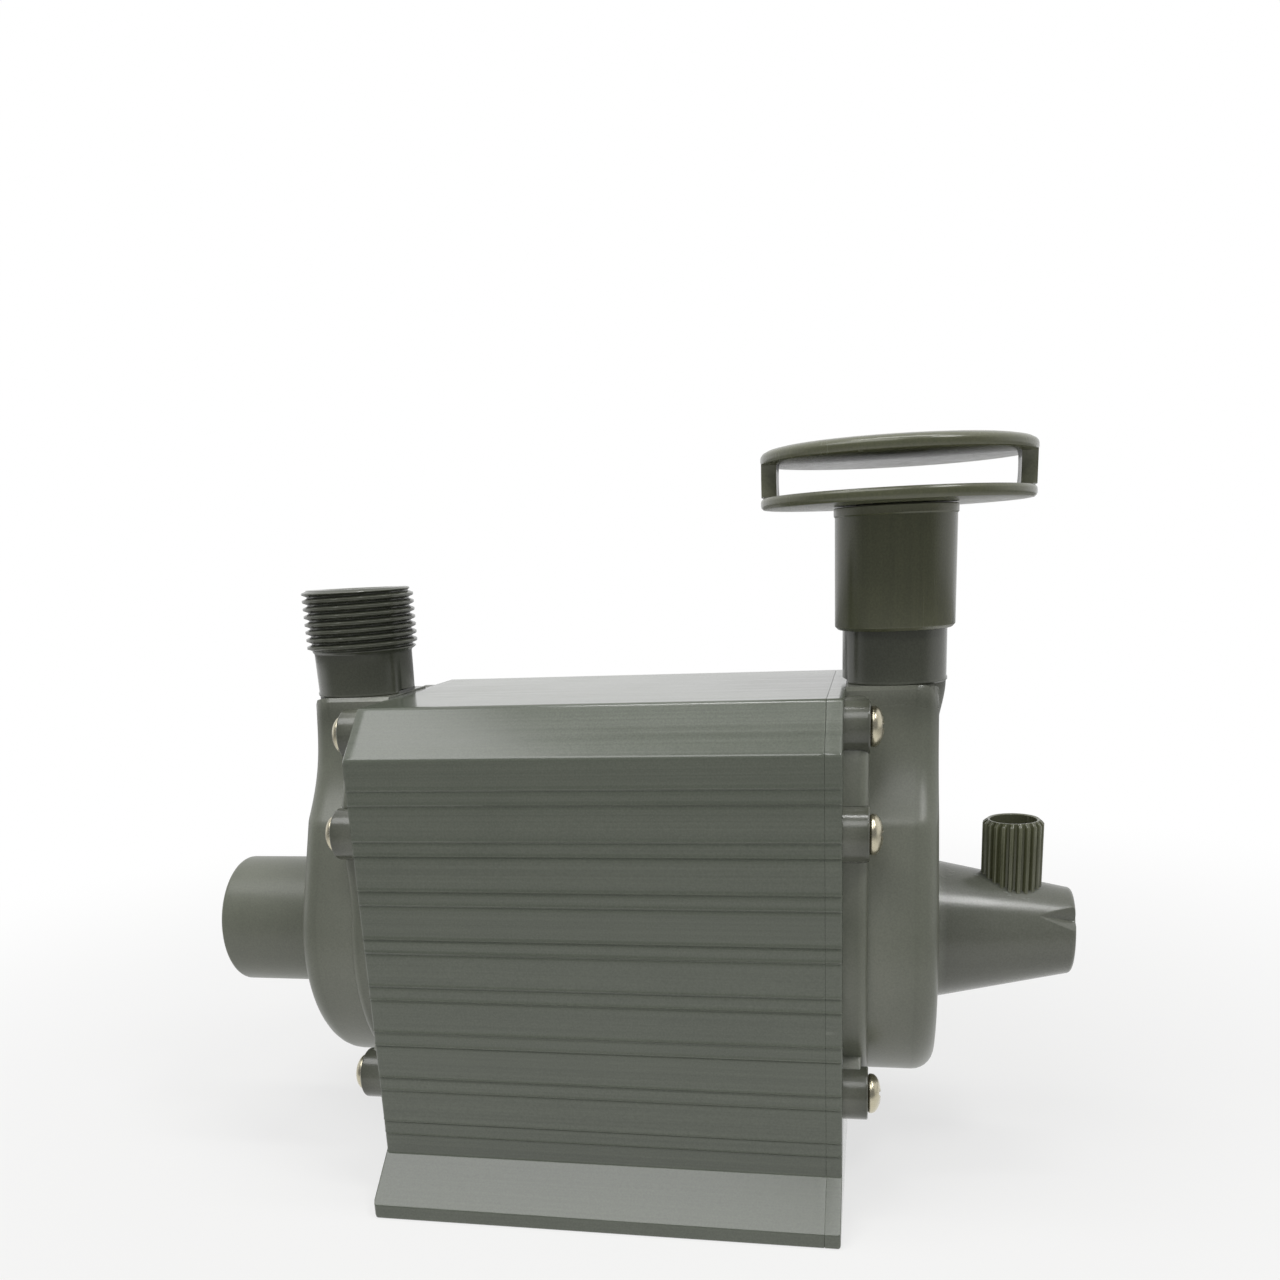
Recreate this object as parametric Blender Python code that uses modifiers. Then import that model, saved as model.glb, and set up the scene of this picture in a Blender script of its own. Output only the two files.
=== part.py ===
"""Twin-head pond pump that moves water on one side and air on the other.

A potted motor block turns one magnet rotor. The rotor drives an impeller at each end, and each
impeller has its own volute: plain inlet pipe and threaded outlet on the -X side, air-drawing
nozzle and diffuser head on the +X side. Metres, +Z up, +X along the rotor, the long face with
its grooves towards -Y, and the origin at the centre of the block's underside.
"""

import math

import bmesh
import bpy
from mathutils import Matrix, Vector

# Driving dimensions
GAP = 0.0003
BLOCK_LENGTH = 0.106
BLOCK_HEIGHT = 0.1155
COVER_THICKNESS = 0.0032
FOOT_HALF = 0.0493
FOOT_EDGE = 0.0033
WAIST_HALF = 0.0392
WAIST_HEIGHT = 0.0116
SHOULDER_HALF = 0.0405
SHOULDER_HEIGHT = 0.1055
TOP_HALF = 0.0302
WALL = 0.0032
FLOOR = 0.009
GROOVE_FIRST = 0.0182
GROOVE_PITCH = 0.0113
GROOVE_COUNT = 8
GROOVE_PAIR = 0.0033
GROOVE_WIDTH = 0.0008
GROOVE_DEPTH = 0.0003

AXIS_HEIGHT = 0.057
CAN_RADIUS = 0.0170
CAN_BORE = 0.0156
MAGNET_RADIUS = 0.0146
MAGNET_HALF = 0.021
SHAFT_RADIUS = 0.0030
SHAFT_HALF = 0.0710
STATOR_HALF = 0.022

FLANGE_FACE = BLOCK_LENGTH / 2 + GAP
FLANGE_OUT = 0.0584
FLANGE_RADIUS = 0.0366
BODY_OUT = 0.0734
BODY_RADIUS = 0.0333
BODY_EDGE = 0.005
BODY_SLOPE = math.radians(24.5)
CHAMBER_RADIUS = 0.027
CHAMBER_OUT = 0.0704
SEAL_RADIUS = 0.030
SEAL_SECTION = 0.0008
SEAL_FLOOR = 0.0552

OUTLET_OFFSET = 0.0637
NECK_RADIUS = 0.0115
OUTLET_BORE = 0.0082
OUTLET_TOP = 0.1408
THREAD_RADIUS = 0.01322
THREAD_ROOT = 0.01206
THREAD_PITCH = 0.001814
THREAD_TURNS = 8

PIPE_RADIUS = 0.0162
PIPE_BORE = 0.0126
PIPE_END = 0.1029

NOZZLE_BASE_RADIUS = 0.0162
NOZZLE_TIP_RADIUS = 0.0101
NOZZLE_END = 0.1045
NOZZLE_THROAT = 0.0052
NOZZLE_MOUTH = 0.0078
NOTCH_TURN = math.radians(57)
NOTCH_LENGTH = 0.0081
NOTCH_HALF = 0.0036
AIR_STUB_X = 0.0909
AIR_STUB_TOP = 0.0836
AIR_STUB_RADIUS = 0.0068
AIR_STUB_BORE = 0.0052
AIR_STUB_RIBS = 22
AIR_HOLE = 0.0022

SOCKET_RADIUS = 0.01345
SOCKET_BOTTOM = 0.1274
DISH_BOTTOM = 0.1538
DISH_TOP = 0.1563
HEAD_RADIUS = 0.0293
CAP_BOTTOM = 0.1632
CAP_TOP = 0.1663
POST_DEPTH = 0.0034
POST_HALF_WIDTH = 0.0045

BOSS_RADIUS = 0.0058
SCREW_PLACES = ((0.0248, 0.1089), (0.0336, 0.0878), (0.0322, 0.0288))
SCREW_HOLE = 0.0023
SCREW_SHANK = 0.0020
SCREW_HEAD_RADIUS = 0.0043
SCREW_HEAD_HEIGHT = 0.0028
SCREW_REACH = 0.0144

IMPELLER_RADIUS = 0.022
IMPELLER_VANES = 6
IMPELLER_DISC = (0.0545, 0.0560)
IMPELLER_END = 0.0645

PALETTE = {
    "housing_plastic": ((0.150, 0.158, 0.140), 0.45, 0.0),
    "volute_plastic": ((0.140, 0.145, 0.125), 0.45, 0.0),
    "dark_plastic": ((0.055, 0.058, 0.045), 0.40, 0.0),
    "stainless": ((0.700, 0.690, 0.640), 0.25, 1.0),
    "lamination_steel": ((0.300, 0.300, 0.310), 0.50, 1.0),
    "copper_wire": ((0.560, 0.230, 0.080), 0.35, 1.0),
    "nylon": ((0.750, 0.740, 0.680), 0.50, 0.0),
    "resin": ((0.030, 0.030, 0.032), 0.30, 0.0),
    "ferrite": ((0.060, 0.060, 0.065), 0.55, 0.0),
    "ceramic": ((0.820, 0.810, 0.780), 0.20, 0.0),
    "rubber": ((0.030, 0.030, 0.030), 0.80, 0.0),
}


def start_empty():
    """Removes what the scene holds and makes the two collections."""
    for thing in list(bpy.data.objects):
        bpy.data.objects.remove(thing)
    collections = []
    for name in ("twin_head_pump", "cutters"):
        collection = bpy.data.collections.new(name)
        bpy.context.scene.collection.children.link(collection)
        collections.append(collection)
    return collections


PUMP, CUTTERS = start_empty()


def plastic_or_metal(name):
    """One Principled material from the palette, made at its first use."""
    if name in bpy.data.materials:
        return bpy.data.materials[name]
    colour, roughness, metallic = PALETTE[name]
    material = bpy.data.materials.new(name)
    material.use_nodes = True
    shader = material.node_tree.nodes["Principled BSDF"]
    shader.inputs["Base Color"].default_value = (*colour, 1.0)
    shader.inputs["Roughness"].default_value = roughness
    shader.inputs["Metallic"].default_value = metallic
    return material


def show(name, mesh, material=None):
    """Links a mesh as a piece of the pump, or as a hidden cutter when it has no material."""
    thing = bpy.data.objects.new(name, mesh)
    if material is None:
        CUTTERS.objects.link(thing)
        thing.hide_render = True
        thing.display_type = "WIRE"
    else:
        PUMP.objects.link(thing)
        mesh.materials.clear()
        mesh.materials.append(plastic_or_metal(material))
    return thing


def mesh_from(name, shape):
    """Turns a bmesh into a mesh and frees it."""
    mesh = bpy.data.meshes.new(name)
    shape.to_mesh(mesh)
    shape.free()
    return mesh


def box(name, low, high, material=None):
    """A block between two corners."""
    shape = bmesh.new()
    low, high = Vector(low), Vector(high)
    size = high - low
    place = Matrix.Translation((low + high) / 2) @ Matrix.Diagonal((*size, 1.0))
    bmesh.ops.create_cube(shape, size=1.0, matrix=place)
    return show(name, mesh_from(name, shape), material)


def rod(name, start, end, radius, segments=24, end_radius=None):
    """A hidden round bar or cone between two points."""
    shape = bmesh.new()
    start, end = Vector(start), Vector(end)
    along = end - start
    place = Matrix.Translation((start + end) / 2) @ along.to_track_quat("Z", "Y").to_matrix().to_4x4()
    far = radius if end_radius is None else end_radius
    bmesh.ops.create_cone(shape, cap_ends=True, segments=segments, radius1=radius, radius2=far,
                          depth=along.length, matrix=place)
    return show(name, mesh_from(name, shape))


def turned(name, profile, centre, turn=0.0, material=None, steps=48, closed=True):
    """Turns (radius, along) points about the local Z axis, tipped about Y by turn."""
    shape = bmesh.new()
    points = [shape.verts.new((radius, 0.0, along)) for radius, along in profile]
    for first, second in zip(points, points[1:]):
        shape.edges.new((first, second))
    if closed:
        shape.edges.new((points[-1], points[0]))
    thing = show(name, mesh_from(name, shape), material)
    thing.location = centre
    thing.rotation_euler = (0.0, turn, 0.0)
    screw = thing.modifiers.new("turn", "SCREW")
    screw.axis = "Z"
    screw.angle = 2 * math.pi
    screw.steps = steps
    screw.render_steps = steps
    screw.use_merge_vertices = True
    screw.merge_threshold = 0.00005
    screw.use_smooth_shade = True
    return thing


def tube(outer, inner, low, high):
    """The profile of a plain tube, down its outside and up its bore."""
    return [(outer, high), (outer, low), (inner, low), (inner, high)]


def bar(radius, low, high):
    """The profile of a solid round bar, from the axis out, down and back."""
    return [(0.0, high), (radius, high), (radius, low), (0.0, low)]


def extruded(name, outline, low, high, material=None):
    """A flat (y, z) outline made solid from x = low to x = high."""
    curve = bpy.data.curves.new(name, "CURVE")
    curve.dimensions = "2D"
    curve.fill_mode = "BOTH"
    curve.extrude = (high - low) / 2
    spline = curve.splines.new("POLY")
    spline.points.add(len(outline) - 1)
    for point, (across, up) in zip(spline.points, outline):
        point.co = (across, up, 0.0, 1.0)
    spline.use_cyclic_u = True
    flat = bpy.data.objects.new(name + "_curve", curve)
    CUTTERS.objects.link(flat)
    mesh = bpy.data.meshes.new_from_object(flat.evaluated_get(bpy.context.evaluated_depsgraph_get()))
    bpy.data.objects.remove(flat)
    shape = bmesh.new()
    shape.from_mesh(mesh)
    bmesh.ops.remove_doubles(shape, verts=shape.verts, dist=0.00001)
    bmesh.ops.dissolve_limit(shape, angle_limit=0.001, verts=shape.verts, edges=shape.edges)
    shape.to_mesh(mesh)
    shape.free()
    mesh.name = name
    thing = show(name, mesh, material)
    thing.location = ((low + high) / 2, 0.0, 0.0)
    thing.rotation_euler = (math.pi / 2, 0.0, math.pi / 2)
    return thing


def combine(thing, operation, *others):
    """One Boolean of a piece with all the other shapes at once."""
    step = len(thing.modifiers)
    boolean = thing.modifiers.new(f"{operation.lower()}_{step}", "BOOLEAN")
    boolean.operation = operation
    boolean.solver = "EXACT"
    boolean.operand_type = "COLLECTION"
    boolean.collection = bpy.data.collections.new(f"{thing.name}_{boolean.name}")
    CUTTERS.children.link(boolean.collection)
    for other in others:
        boolean.collection.objects.link(other)
    return thing


def cut(thing, *others):
    return combine(thing, "DIFFERENCE", *others)


def fuse(thing, *others):
    return combine(thing, "UNION", *others)


def keep(thing, *others):
    return combine(thing, "INTERSECT", *others)


def bevel(thing, width, segments):
    """Rounds the sharp edges of a piece."""
    edge = thing.modifiers.new("edge", "BEVEL")
    edge.width = width
    edge.segments = segments
    edge.limit_method = "ANGLE"
    edge.angle_limit = math.radians(40)
    return thing


def mirrored_outline(half):
    """Closes a right-hand half outline, bottom to top, with its mirror image."""
    left = [(-across, up) for across, up in reversed(half) if across > 0]
    return half + left


def arc(centre, radius, start, end, pieces):
    """Points along an arc, angles in radians from +Y towards +Z."""
    turns = [start + (end - start) * step / pieces for step in range(pieces + 1)]
    return [(centre[0] + radius * math.cos(t), centre[1] + radius * math.sin(t)) for t in turns]


# Motor block: housing, end cover and what is potted inside

def side_half(height):
    """Half width of the block's side face at a height."""
    part = (height - WAIST_HEIGHT) / (SHOULDER_HEIGHT - WAIST_HEIGHT)
    return WAIST_HALF + (SHOULDER_HALF - WAIST_HALF) * part


def block_outline():
    """Flared foot, grooved side, chamfered shoulder and flat top."""
    half = [(FOOT_HALF, 0.0), (FOOT_HALF, FOOT_EDGE), (WAIST_HALF, WAIST_HEIGHT)]
    for pair in range(GROOVE_COUNT):
        for offset in (-GROOVE_PAIR / 2, GROOVE_PAIR / 2):
            height = GROOVE_FIRST + pair * GROOVE_PITCH + offset
            half.append((side_half(height - GROOVE_WIDTH / 2), height - GROOVE_WIDTH / 2))
            half.append((side_half(height) - GROOVE_DEPTH, height))
            half.append((side_half(height + GROOVE_WIDTH / 2), height + GROOVE_WIDTH / 2))
    half.append((SHOULDER_HALF, SHOULDER_HEIGHT))
    half += arc((TOP_HALF - 0.003, BLOCK_HEIGHT - 0.003), 0.003, math.radians(30), math.pi / 2, 3)
    return mirrored_outline(half)


def inside_outline(inset):
    """The block's hollow, drawn in from the walls by inset."""
    wall = WALL + inset
    half = [(WAIST_HALF - wall, FLOOR + inset),
            (SHOULDER_HALF - wall, SHOULDER_HEIGHT - wall / 3),
            (TOP_HALF - wall / 2, BLOCK_HEIGHT - wall)]
    return mirrored_outline(half)


def screw_cutters(side):
    """Holes for the six screws of one end, right through boss, wall and resin."""
    holes = []
    for level, (across, up) in enumerate(SCREW_PLACES):
        for hand in (-1, 1):
            name = f"screw_hole_{side}_{level}_{hand}"
            start = (side * (FLANGE_OUT - SCREW_REACH - 0.001), hand * across, up)
            holes.append(rod(name, start, (side * 0.07, hand * across, up), SCREW_HOLE, 8))
    return holes


LEFT_HOLES = screw_cutters(-1)
RIGHT_HOLES = screw_cutters(1)
CAN_HOLE = rod("can_hole", (-0.06, 0, AXIS_HEIGHT), (0.06, 0, AXIS_HEIGHT), CAN_RADIUS + GAP, 48)


def motor_block():
    """Housing open at +X, its cover, the can, and the potted stator with two coils."""
    half_length = BLOCK_LENGTH / 2
    seam = half_length - COVER_THICKNESS
    inside = half_length - WALL
    housing = extruded("motor_housing", block_outline(), -half_length, seam - GAP, "housing_plastic")
    hollow = extruded("housing_hollow", inside_outline(0.0), -inside, half_length)
    cut(housing, hollow, CAN_HOLE, *LEFT_HOLES)
    cover = extruded("end_cover", block_outline(), seam, half_length, "housing_plastic")
    cut(cover, CAN_HOLE, *RIGHT_HOLES)

    turned("rotor_can", tube(CAN_RADIUS, CAN_BORE, -half_length, half_length),
           (0, 0, AXIS_HEIGHT), math.pi / 2, "nylon")

    leg_in, leg_out = 0.020, 0.030
    coil_low, coil_high = 0.0220, 0.0395
    core = box("stator_core", (-STATOR_HALF, -0.032, 0.0115), (STATOR_HALF, 0.032, 0.0765),
               "lamination_steel")
    cut(core, CAN_HOLE,
        box("core_window", (-0.03, -leg_in, coil_low), (0.03, leg_in, coil_high)),
        box("core_slot", (-0.03, -0.006, 0.060), (0.03, 0.006, 0.080)))
    for hand, side_name in ((-1, "front"), (1, "rear")):
        cut(core, box(f"core_relief_{side_name}", (-0.03, min(hand * leg_out, hand * 0.04), coil_low),
                      (0.03, max(hand * leg_out, hand * 0.04), coil_high)))
        coil(side_name, hand * (leg_in + leg_out) / 2, (leg_out - leg_in) / 2,
             coil_low + GAP, coil_high - GAP)

    resin = extruded("potting_resin", inside_outline(GAP), -inside + GAP, seam - 2 * GAP, "resin")
    cut(resin, CAN_HOLE, box("coil_room", (-0.0275, -0.05, 0.0), (0.0275, 0.05, 0.0768)),
        *LEFT_HOLES, *RIGHT_HOLES)


def coil(side_name, across, leg_half, low, high):
    """A flanged bobbin on one leg of the core, with its winding."""
    wall = 0.001
    build = 0.0036
    hole_y, hole_x = leg_half + GAP, STATOR_HALF + GAP
    tube_y, tube_x = hole_y + wall, hole_x + wall
    wind_y, wind_x = tube_y + GAP + build, tube_x + GAP + build

    def block(name, half_x, half_y, bottom, top, material=None):
        return box(name, (-half_x, across - half_y, bottom), (half_x, across + half_y, top), material)

    bobbin = block(f"bobbin_{side_name}", wind_x, wind_y, low, low + wall, "nylon")
    fuse(bobbin, block(f"bobbin_tube_{side_name}", tube_x, tube_y, low, high),
         block(f"bobbin_top_{side_name}", wind_x, wind_y, high - wall, high))
    cut(bobbin, block(f"bobbin_hole_{side_name}", hole_x, hole_y, low - wall, high + wall))
    winding = bevel(block(f"winding_{side_name}", wind_x, wind_y, low + wall + GAP,
                          high - wall - GAP, "copper_wire"), 0.0015, 2)
    cut(winding, block(f"winding_hole_{side_name}", tube_x + GAP, tube_y + GAP, low, high))


# Rotor: magnet, ceramic shaft and an impeller at each end

def rotor():
    """The magnet on its shaft; both impellers are pressed on the magnet's ends."""
    centre = (0, 0, AXIS_HEIGHT)
    turned("rotor_magnet", tube(MAGNET_RADIUS, SHAFT_RADIUS + GAP, -MAGNET_HALF, MAGNET_HALF),
           centre, math.pi / 2, "ferrite", 32)
    turned("rotor_shaft", bar(SHAFT_RADIUS, -SHAFT_HALF, SHAFT_HALF), centre, math.pi / 2,
           "ceramic", 16, closed=False)
    for side, name in ((-1, "water"), (1, "air")):
        turn = side * math.pi / 2
        impeller(name, side, turn)
        turned(f"thrust_washer_{name}", tube(0.0056, SHAFT_RADIUS + GAP, IMPELLER_END + GAP,
               IMPELLER_END + GAP + 0.001), centre, turn, "ceramic", 20)
        turned(f"shaft_bush_{name}", tube(0.0050, SHAFT_RADIUS + GAP, IMPELLER_END + 0.0016,
               CHAMBER_OUT + 0.0004), centre, turn, "rubber", 20)


def impeller(name, side, turn):
    """A stem inside the can, a disc in the volute and straight vanes on it."""
    bore = SHAFT_RADIUS + GAP
    disc_in, disc_out = IMPELLER_DISC
    profile = [(0.0055, IMPELLER_END), (0.0055, disc_out), (IMPELLER_RADIUS, disc_out),
               (IMPELLER_RADIUS, disc_in), (0.0070, disc_in), (0.0070, MAGNET_HALF + GAP),
               (bore, MAGNET_HALF + GAP), (bore, IMPELLER_END)]
    wheel = turned(f"{name}_impeller", profile, (0, 0, AXIS_HEIGHT), turn, "dark_plastic", 24)
    vanes = bmesh.new()
    inner, outer = 0.0045, IMPELLER_RADIUS - 0.0005
    low, high = disc_out - 0.0005, IMPELLER_END - 0.0005
    for vane in range(IMPELLER_VANES):
        place = (Matrix.Rotation(2 * math.pi * vane / IMPELLER_VANES, 4, "X")
                 @ Matrix.Translation((side * (low + high) / 2, 0, (inner + outer) / 2))
                 @ Matrix.Diagonal((high - low, 0.0014, outer - inner, 1.0)))
        bmesh.ops.create_cube(vanes, size=1.0, matrix=place)
    blades = show(f"{name}_vanes", mesh_from(f"{name}_vanes", vanes))
    blades.location = (0, 0, AXIS_HEIGHT)
    fuse(wheel, blades)


# Volutes: flange with six bosses, teardrop body, outlet neck and shaft spider

def body_outline():
    """A circle whose two upper tangents run up to the outlet neck."""
    touch_y = BODY_RADIUS * math.cos(BODY_SLOPE)
    touch_z = AXIS_HEIGHT + BODY_RADIUS * math.sin(BODY_SLOPE)
    top_z = touch_z + (touch_y - NECK_RADIUS) / math.tan(BODY_SLOPE)
    half = arc((0.0, AXIS_HEIGHT), BODY_RADIUS, -math.pi / 2, BODY_SLOPE, 14)
    half[0] = (0.0, AXIS_HEIGHT - BODY_RADIUS)
    half += [(NECK_RADIUS, top_z)]
    return mirrored_outline(half)


def flange_outline():
    """A round flange that runs up in a tapered web to the two top bosses."""
    half = arc((0.0, AXIS_HEIGHT), FLANGE_RADIUS, -math.pi / 2, math.radians(18), 13)
    half[0] = (0.0, AXIS_HEIGHT - FLANGE_RADIUS)
    half += [(0.0322, 0.0780), (0.0305, 0.0860), (0.0230, 0.1120), (0.0205, 0.1140)]
    return mirrored_outline(half)


def thread_profile():
    """Neck, thread crests and bore of a threaded outlet, heights from the base."""
    pitch = THREAD_PITCH
    outside = [(THREAD_ROOT, OUTLET_TOP)]
    for turn in range(THREAD_TURNS):
        crest = OUTLET_TOP - (turn + 0.5) * pitch
        outside += [(THREAD_RADIUS, crest), (THREAD_ROOT, crest - pitch / 2)]
    root_end = OUTLET_TOP - THREAD_TURNS * pitch - 0.0005
    outside += [(NECK_RADIUS, root_end), (NECK_RADIUS, 0.0950)]
    return outside + [(0.0070, 0.0950), (0.0070, OUTLET_TOP)]


def plain_profile():
    """The same neck with a plain end that the diffuser's socket turns on."""
    return [(NECK_RADIUS - 0.0006, OUTLET_TOP), (NECK_RADIUS, OUTLET_TOP - 0.0008),
            (NECK_RADIUS, 0.0950), (0.0070, 0.0950), (0.0070, OUTLET_TOP)]


def hollow(name, side):
    """Chamber, outlet bore and inlet bore in one, less the three-armed hub of the shaft bush."""
    centre = (0, 0, AXIS_HEIGHT)
    outlet_x = side * OUTLET_OFFSET
    space = rod(f"{name}_chamber", (side * 0.05, 0, AXIS_HEIGHT), (side * CHAMBER_OUT, 0, AXIS_HEIGHT),
                CHAMBER_RADIUS, 40)
    fuse(space,
         rod(f"{name}_outlet_bore", (outlet_x, 0, AXIS_HEIGHT + 0.016),
             (outlet_x, 0, OUTLET_TOP + 0.001), OUTLET_BORE, 32),
         rod(f"{name}_inlet_bore", (side * 0.06, 0, AXIS_HEIGHT),
             (side * (PIPE_END + 0.001), 0, AXIS_HEIGHT), PIPE_BORE, 40))
    spider = [turned(f"{name}_hub", tube(0.0070, 0.0053, 0.0664, 0.0712), centre, side * math.pi / 2,
                     None, 24)]
    for arm in range(3):
        strut = box(f"{name}_arm_{arm}", (min(side * 0.0674, side * 0.0712), -0.0012, 0.0060),
                    (max(side * 0.0674, side * 0.0712), 0.0012, 0.0150))
        strut.location = centre
        strut.rotation_euler = (2 * math.pi * arm / 3, 0, 0)
        spider.append(strut)
    return cut(space, *spider)


def volute(name, side, outlet_profile, holes):
    """One pump head, drawn outwards from the block's end on either side."""
    turn = side * math.pi / 2
    centre = (0, 0, AXIS_HEIGHT)

    body = extruded(f"{name}_volute", body_outline(), *sorted((side * FLANGE_FACE, side * BODY_OUT)),
                    "volute_plastic")
    bevel(body, BODY_EDGE, 3)
    outlet_x = side * OUTLET_OFFSET
    added = [extruded(f"{name}_flange", flange_outline(),
                      *sorted((side * FLANGE_FACE, side * FLANGE_OUT))),
             turned(f"{name}_neck", outlet_profile, (outlet_x, 0, 0), 0.0, None, 32)]
    for level, (across, up) in enumerate(SCREW_PLACES):
        for hand in (-1, 1):
            foot = (side * FLANGE_FACE, hand * across, up)
            added.append(rod(f"{name}_boss_{level}_{hand}", foot,
                             (side * FLANGE_OUT, hand * across, up), BOSS_RADIUS, 16))
    low_y, low_z = SCREW_PLACES[-1]
    for hand in (-1, 1):
        web = box(f"{name}_web_{hand}", (min(side * FLANGE_FACE, side * 0.0568), -0.0035, -0.012),
                  (max(side * FLANGE_FACE, side * 0.0568), 0.0035, 0.0))
        web.location = (0, hand * low_y, low_z)
        web.rotation_euler = (hand * math.atan2(low_y, AXIS_HEIGHT - low_z) + math.pi, 0, 0)
        added.append(web)
    if side < 0:
        added.append(turned("inlet_pipe", bar(PIPE_RADIUS, BODY_OUT - 0.002, PIPE_END), centre, turn,
                            None, 48, closed=False))
    fuse(body, *added)

    trim = box(f"{name}_trim", (min(0, side * FLANGE_FACE), -0.02, 0.08),
               (max(0, side * FLANGE_FACE), 0.02, BLOCK_HEIGHT + 0.0007))
    groove = turned(f"{name}_seal_groove", tube(SEAL_RADIUS + 0.0014, SEAL_RADIUS - 0.0014, 0.050,
                    SEAL_FLOOR), centre, turn, None, 40)
    cut(body, hollow(name, side), trim, groove, *holes)

    ring = [(SEAL_RADIUS + SEAL_SECTION * math.cos(t), 0.0541 + SEAL_SECTION * math.sin(t))
            for t in (-2 * math.pi * k / 6 for k in range(6))]
    turned(f"seal_ring_{name}", ring, centre, turn, "rubber", 28)


# Air side: tapered nozzle with its ribbed air stub

def nozzle():
    """A cone with a narrowed bore, V notches at its tip and a spigot into the volute."""
    base = BODY_OUT + GAP
    spigot = PIPE_BORE - GAP
    round_edge = 0.0012
    profile = [(NOZZLE_MOUTH, NOZZLE_END), (NOZZLE_TIP_RADIUS - round_edge, NOZZLE_END),
               (NOZZLE_TIP_RADIUS, NOZZLE_END - round_edge), (NOZZLE_BASE_RADIUS, base),
               (spigot, base), (spigot, base - 0.0020), (0.0106, base - 0.0020),
               (NOZZLE_THROAT, AIR_STUB_X - 0.006), (NOZZLE_THROAT, AIR_STUB_X + 0.003)]
    cone = turned("venturi_nozzle", profile, (0, 0, AXIS_HEIGHT), math.pi / 2, "volute_plastic", 36)
    for index, roll in enumerate((NOTCH_TURN, NOTCH_TURN + math.pi)):
        cut(cone, notch(index, roll))
    boss_top = AIR_STUB_TOP - 0.0085
    fuse(cone, rod("air_boss", (AIR_STUB_X, 0, AXIS_HEIGHT + 0.008), (AIR_STUB_X, 0, boss_top),
                   AIR_STUB_BORE - GAP, 24))
    cut(cone, rod("air_hole", (AIR_STUB_X, 0, AXIS_HEIGHT), (AIR_STUB_X, 0, boss_top + 0.001),
                  AIR_HOLE, 16))

    stub = turned("air_intake_stub", tube(AIR_STUB_RADIUS - 0.0005, AIR_STUB_BORE,
                  AXIS_HEIGHT + 0.009, AIR_STUB_TOP), (AIR_STUB_X, 0, 0), 0.0, "dark_plastic", 22)
    ribs = bmesh.new()
    for rib in range(AIR_STUB_RIBS):
        place = (Matrix.Rotation(2 * math.pi * (rib + 0.5) / AIR_STUB_RIBS, 4, "Z")
                 @ Matrix.Translation((AIR_STUB_RADIUS - 0.00055, 0, AXIS_HEIGHT + 0.0172))
                 @ Matrix.Diagonal((0.0011, 0.0009, 0.0172, 1.0)))
        bmesh.ops.create_cube(ribs, size=1.0, matrix=place)
    grip = show("air_stub_ribs", mesh_from("air_stub_ribs", ribs))
    grip.location = (AIR_STUB_X, 0, 0)
    slope = (NOZZLE_BASE_RADIUS - NOZZLE_TIP_RADIUS) / (NOZZLE_END - round_edge - base)
    reach = 0.012
    saddle = rod("stub_saddle", (AIR_STUB_X - reach, 0, AXIS_HEIGHT),
                 (AIR_STUB_X + reach, 0, AXIS_HEIGHT), cone_radius(AIR_STUB_X - reach, slope) + GAP,
                 96, cone_radius(AIR_STUB_X + reach, slope) + GAP)
    cut(fuse(stub, grip), saddle)


def cone_radius(along, slope):
    """Outer radius of the nozzle at a distance along the rotor axis."""
    return NOZZLE_BASE_RADIUS - slope * (along - BODY_OUT - GAP)


def notch(index, roll):
    """A diamond bar centred on the tip, whose inner corner is the point of the notch."""
    shape = bmesh.new()
    place = (Matrix.Translation((NOZZLE_END, 0, AXIS_HEIGHT)) @ Matrix.Rotation(roll, 4, "X")
             @ Matrix.Translation((0, 0, 0.010))
             @ Matrix.Diagonal((NOTCH_LENGTH, NOTCH_HALF, 0.0045, 1.0))
             @ Matrix.Rotation(math.pi / 4, 4, "Z"))
    bmesh.ops.create_cube(shape, size=math.sqrt(2), matrix=place)
    return show(f"tip_notch_{index}", mesh_from("tip_notch", shape))


# Diffuser head: socket on the outlet, dish, and a cap held up by two posts

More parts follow.
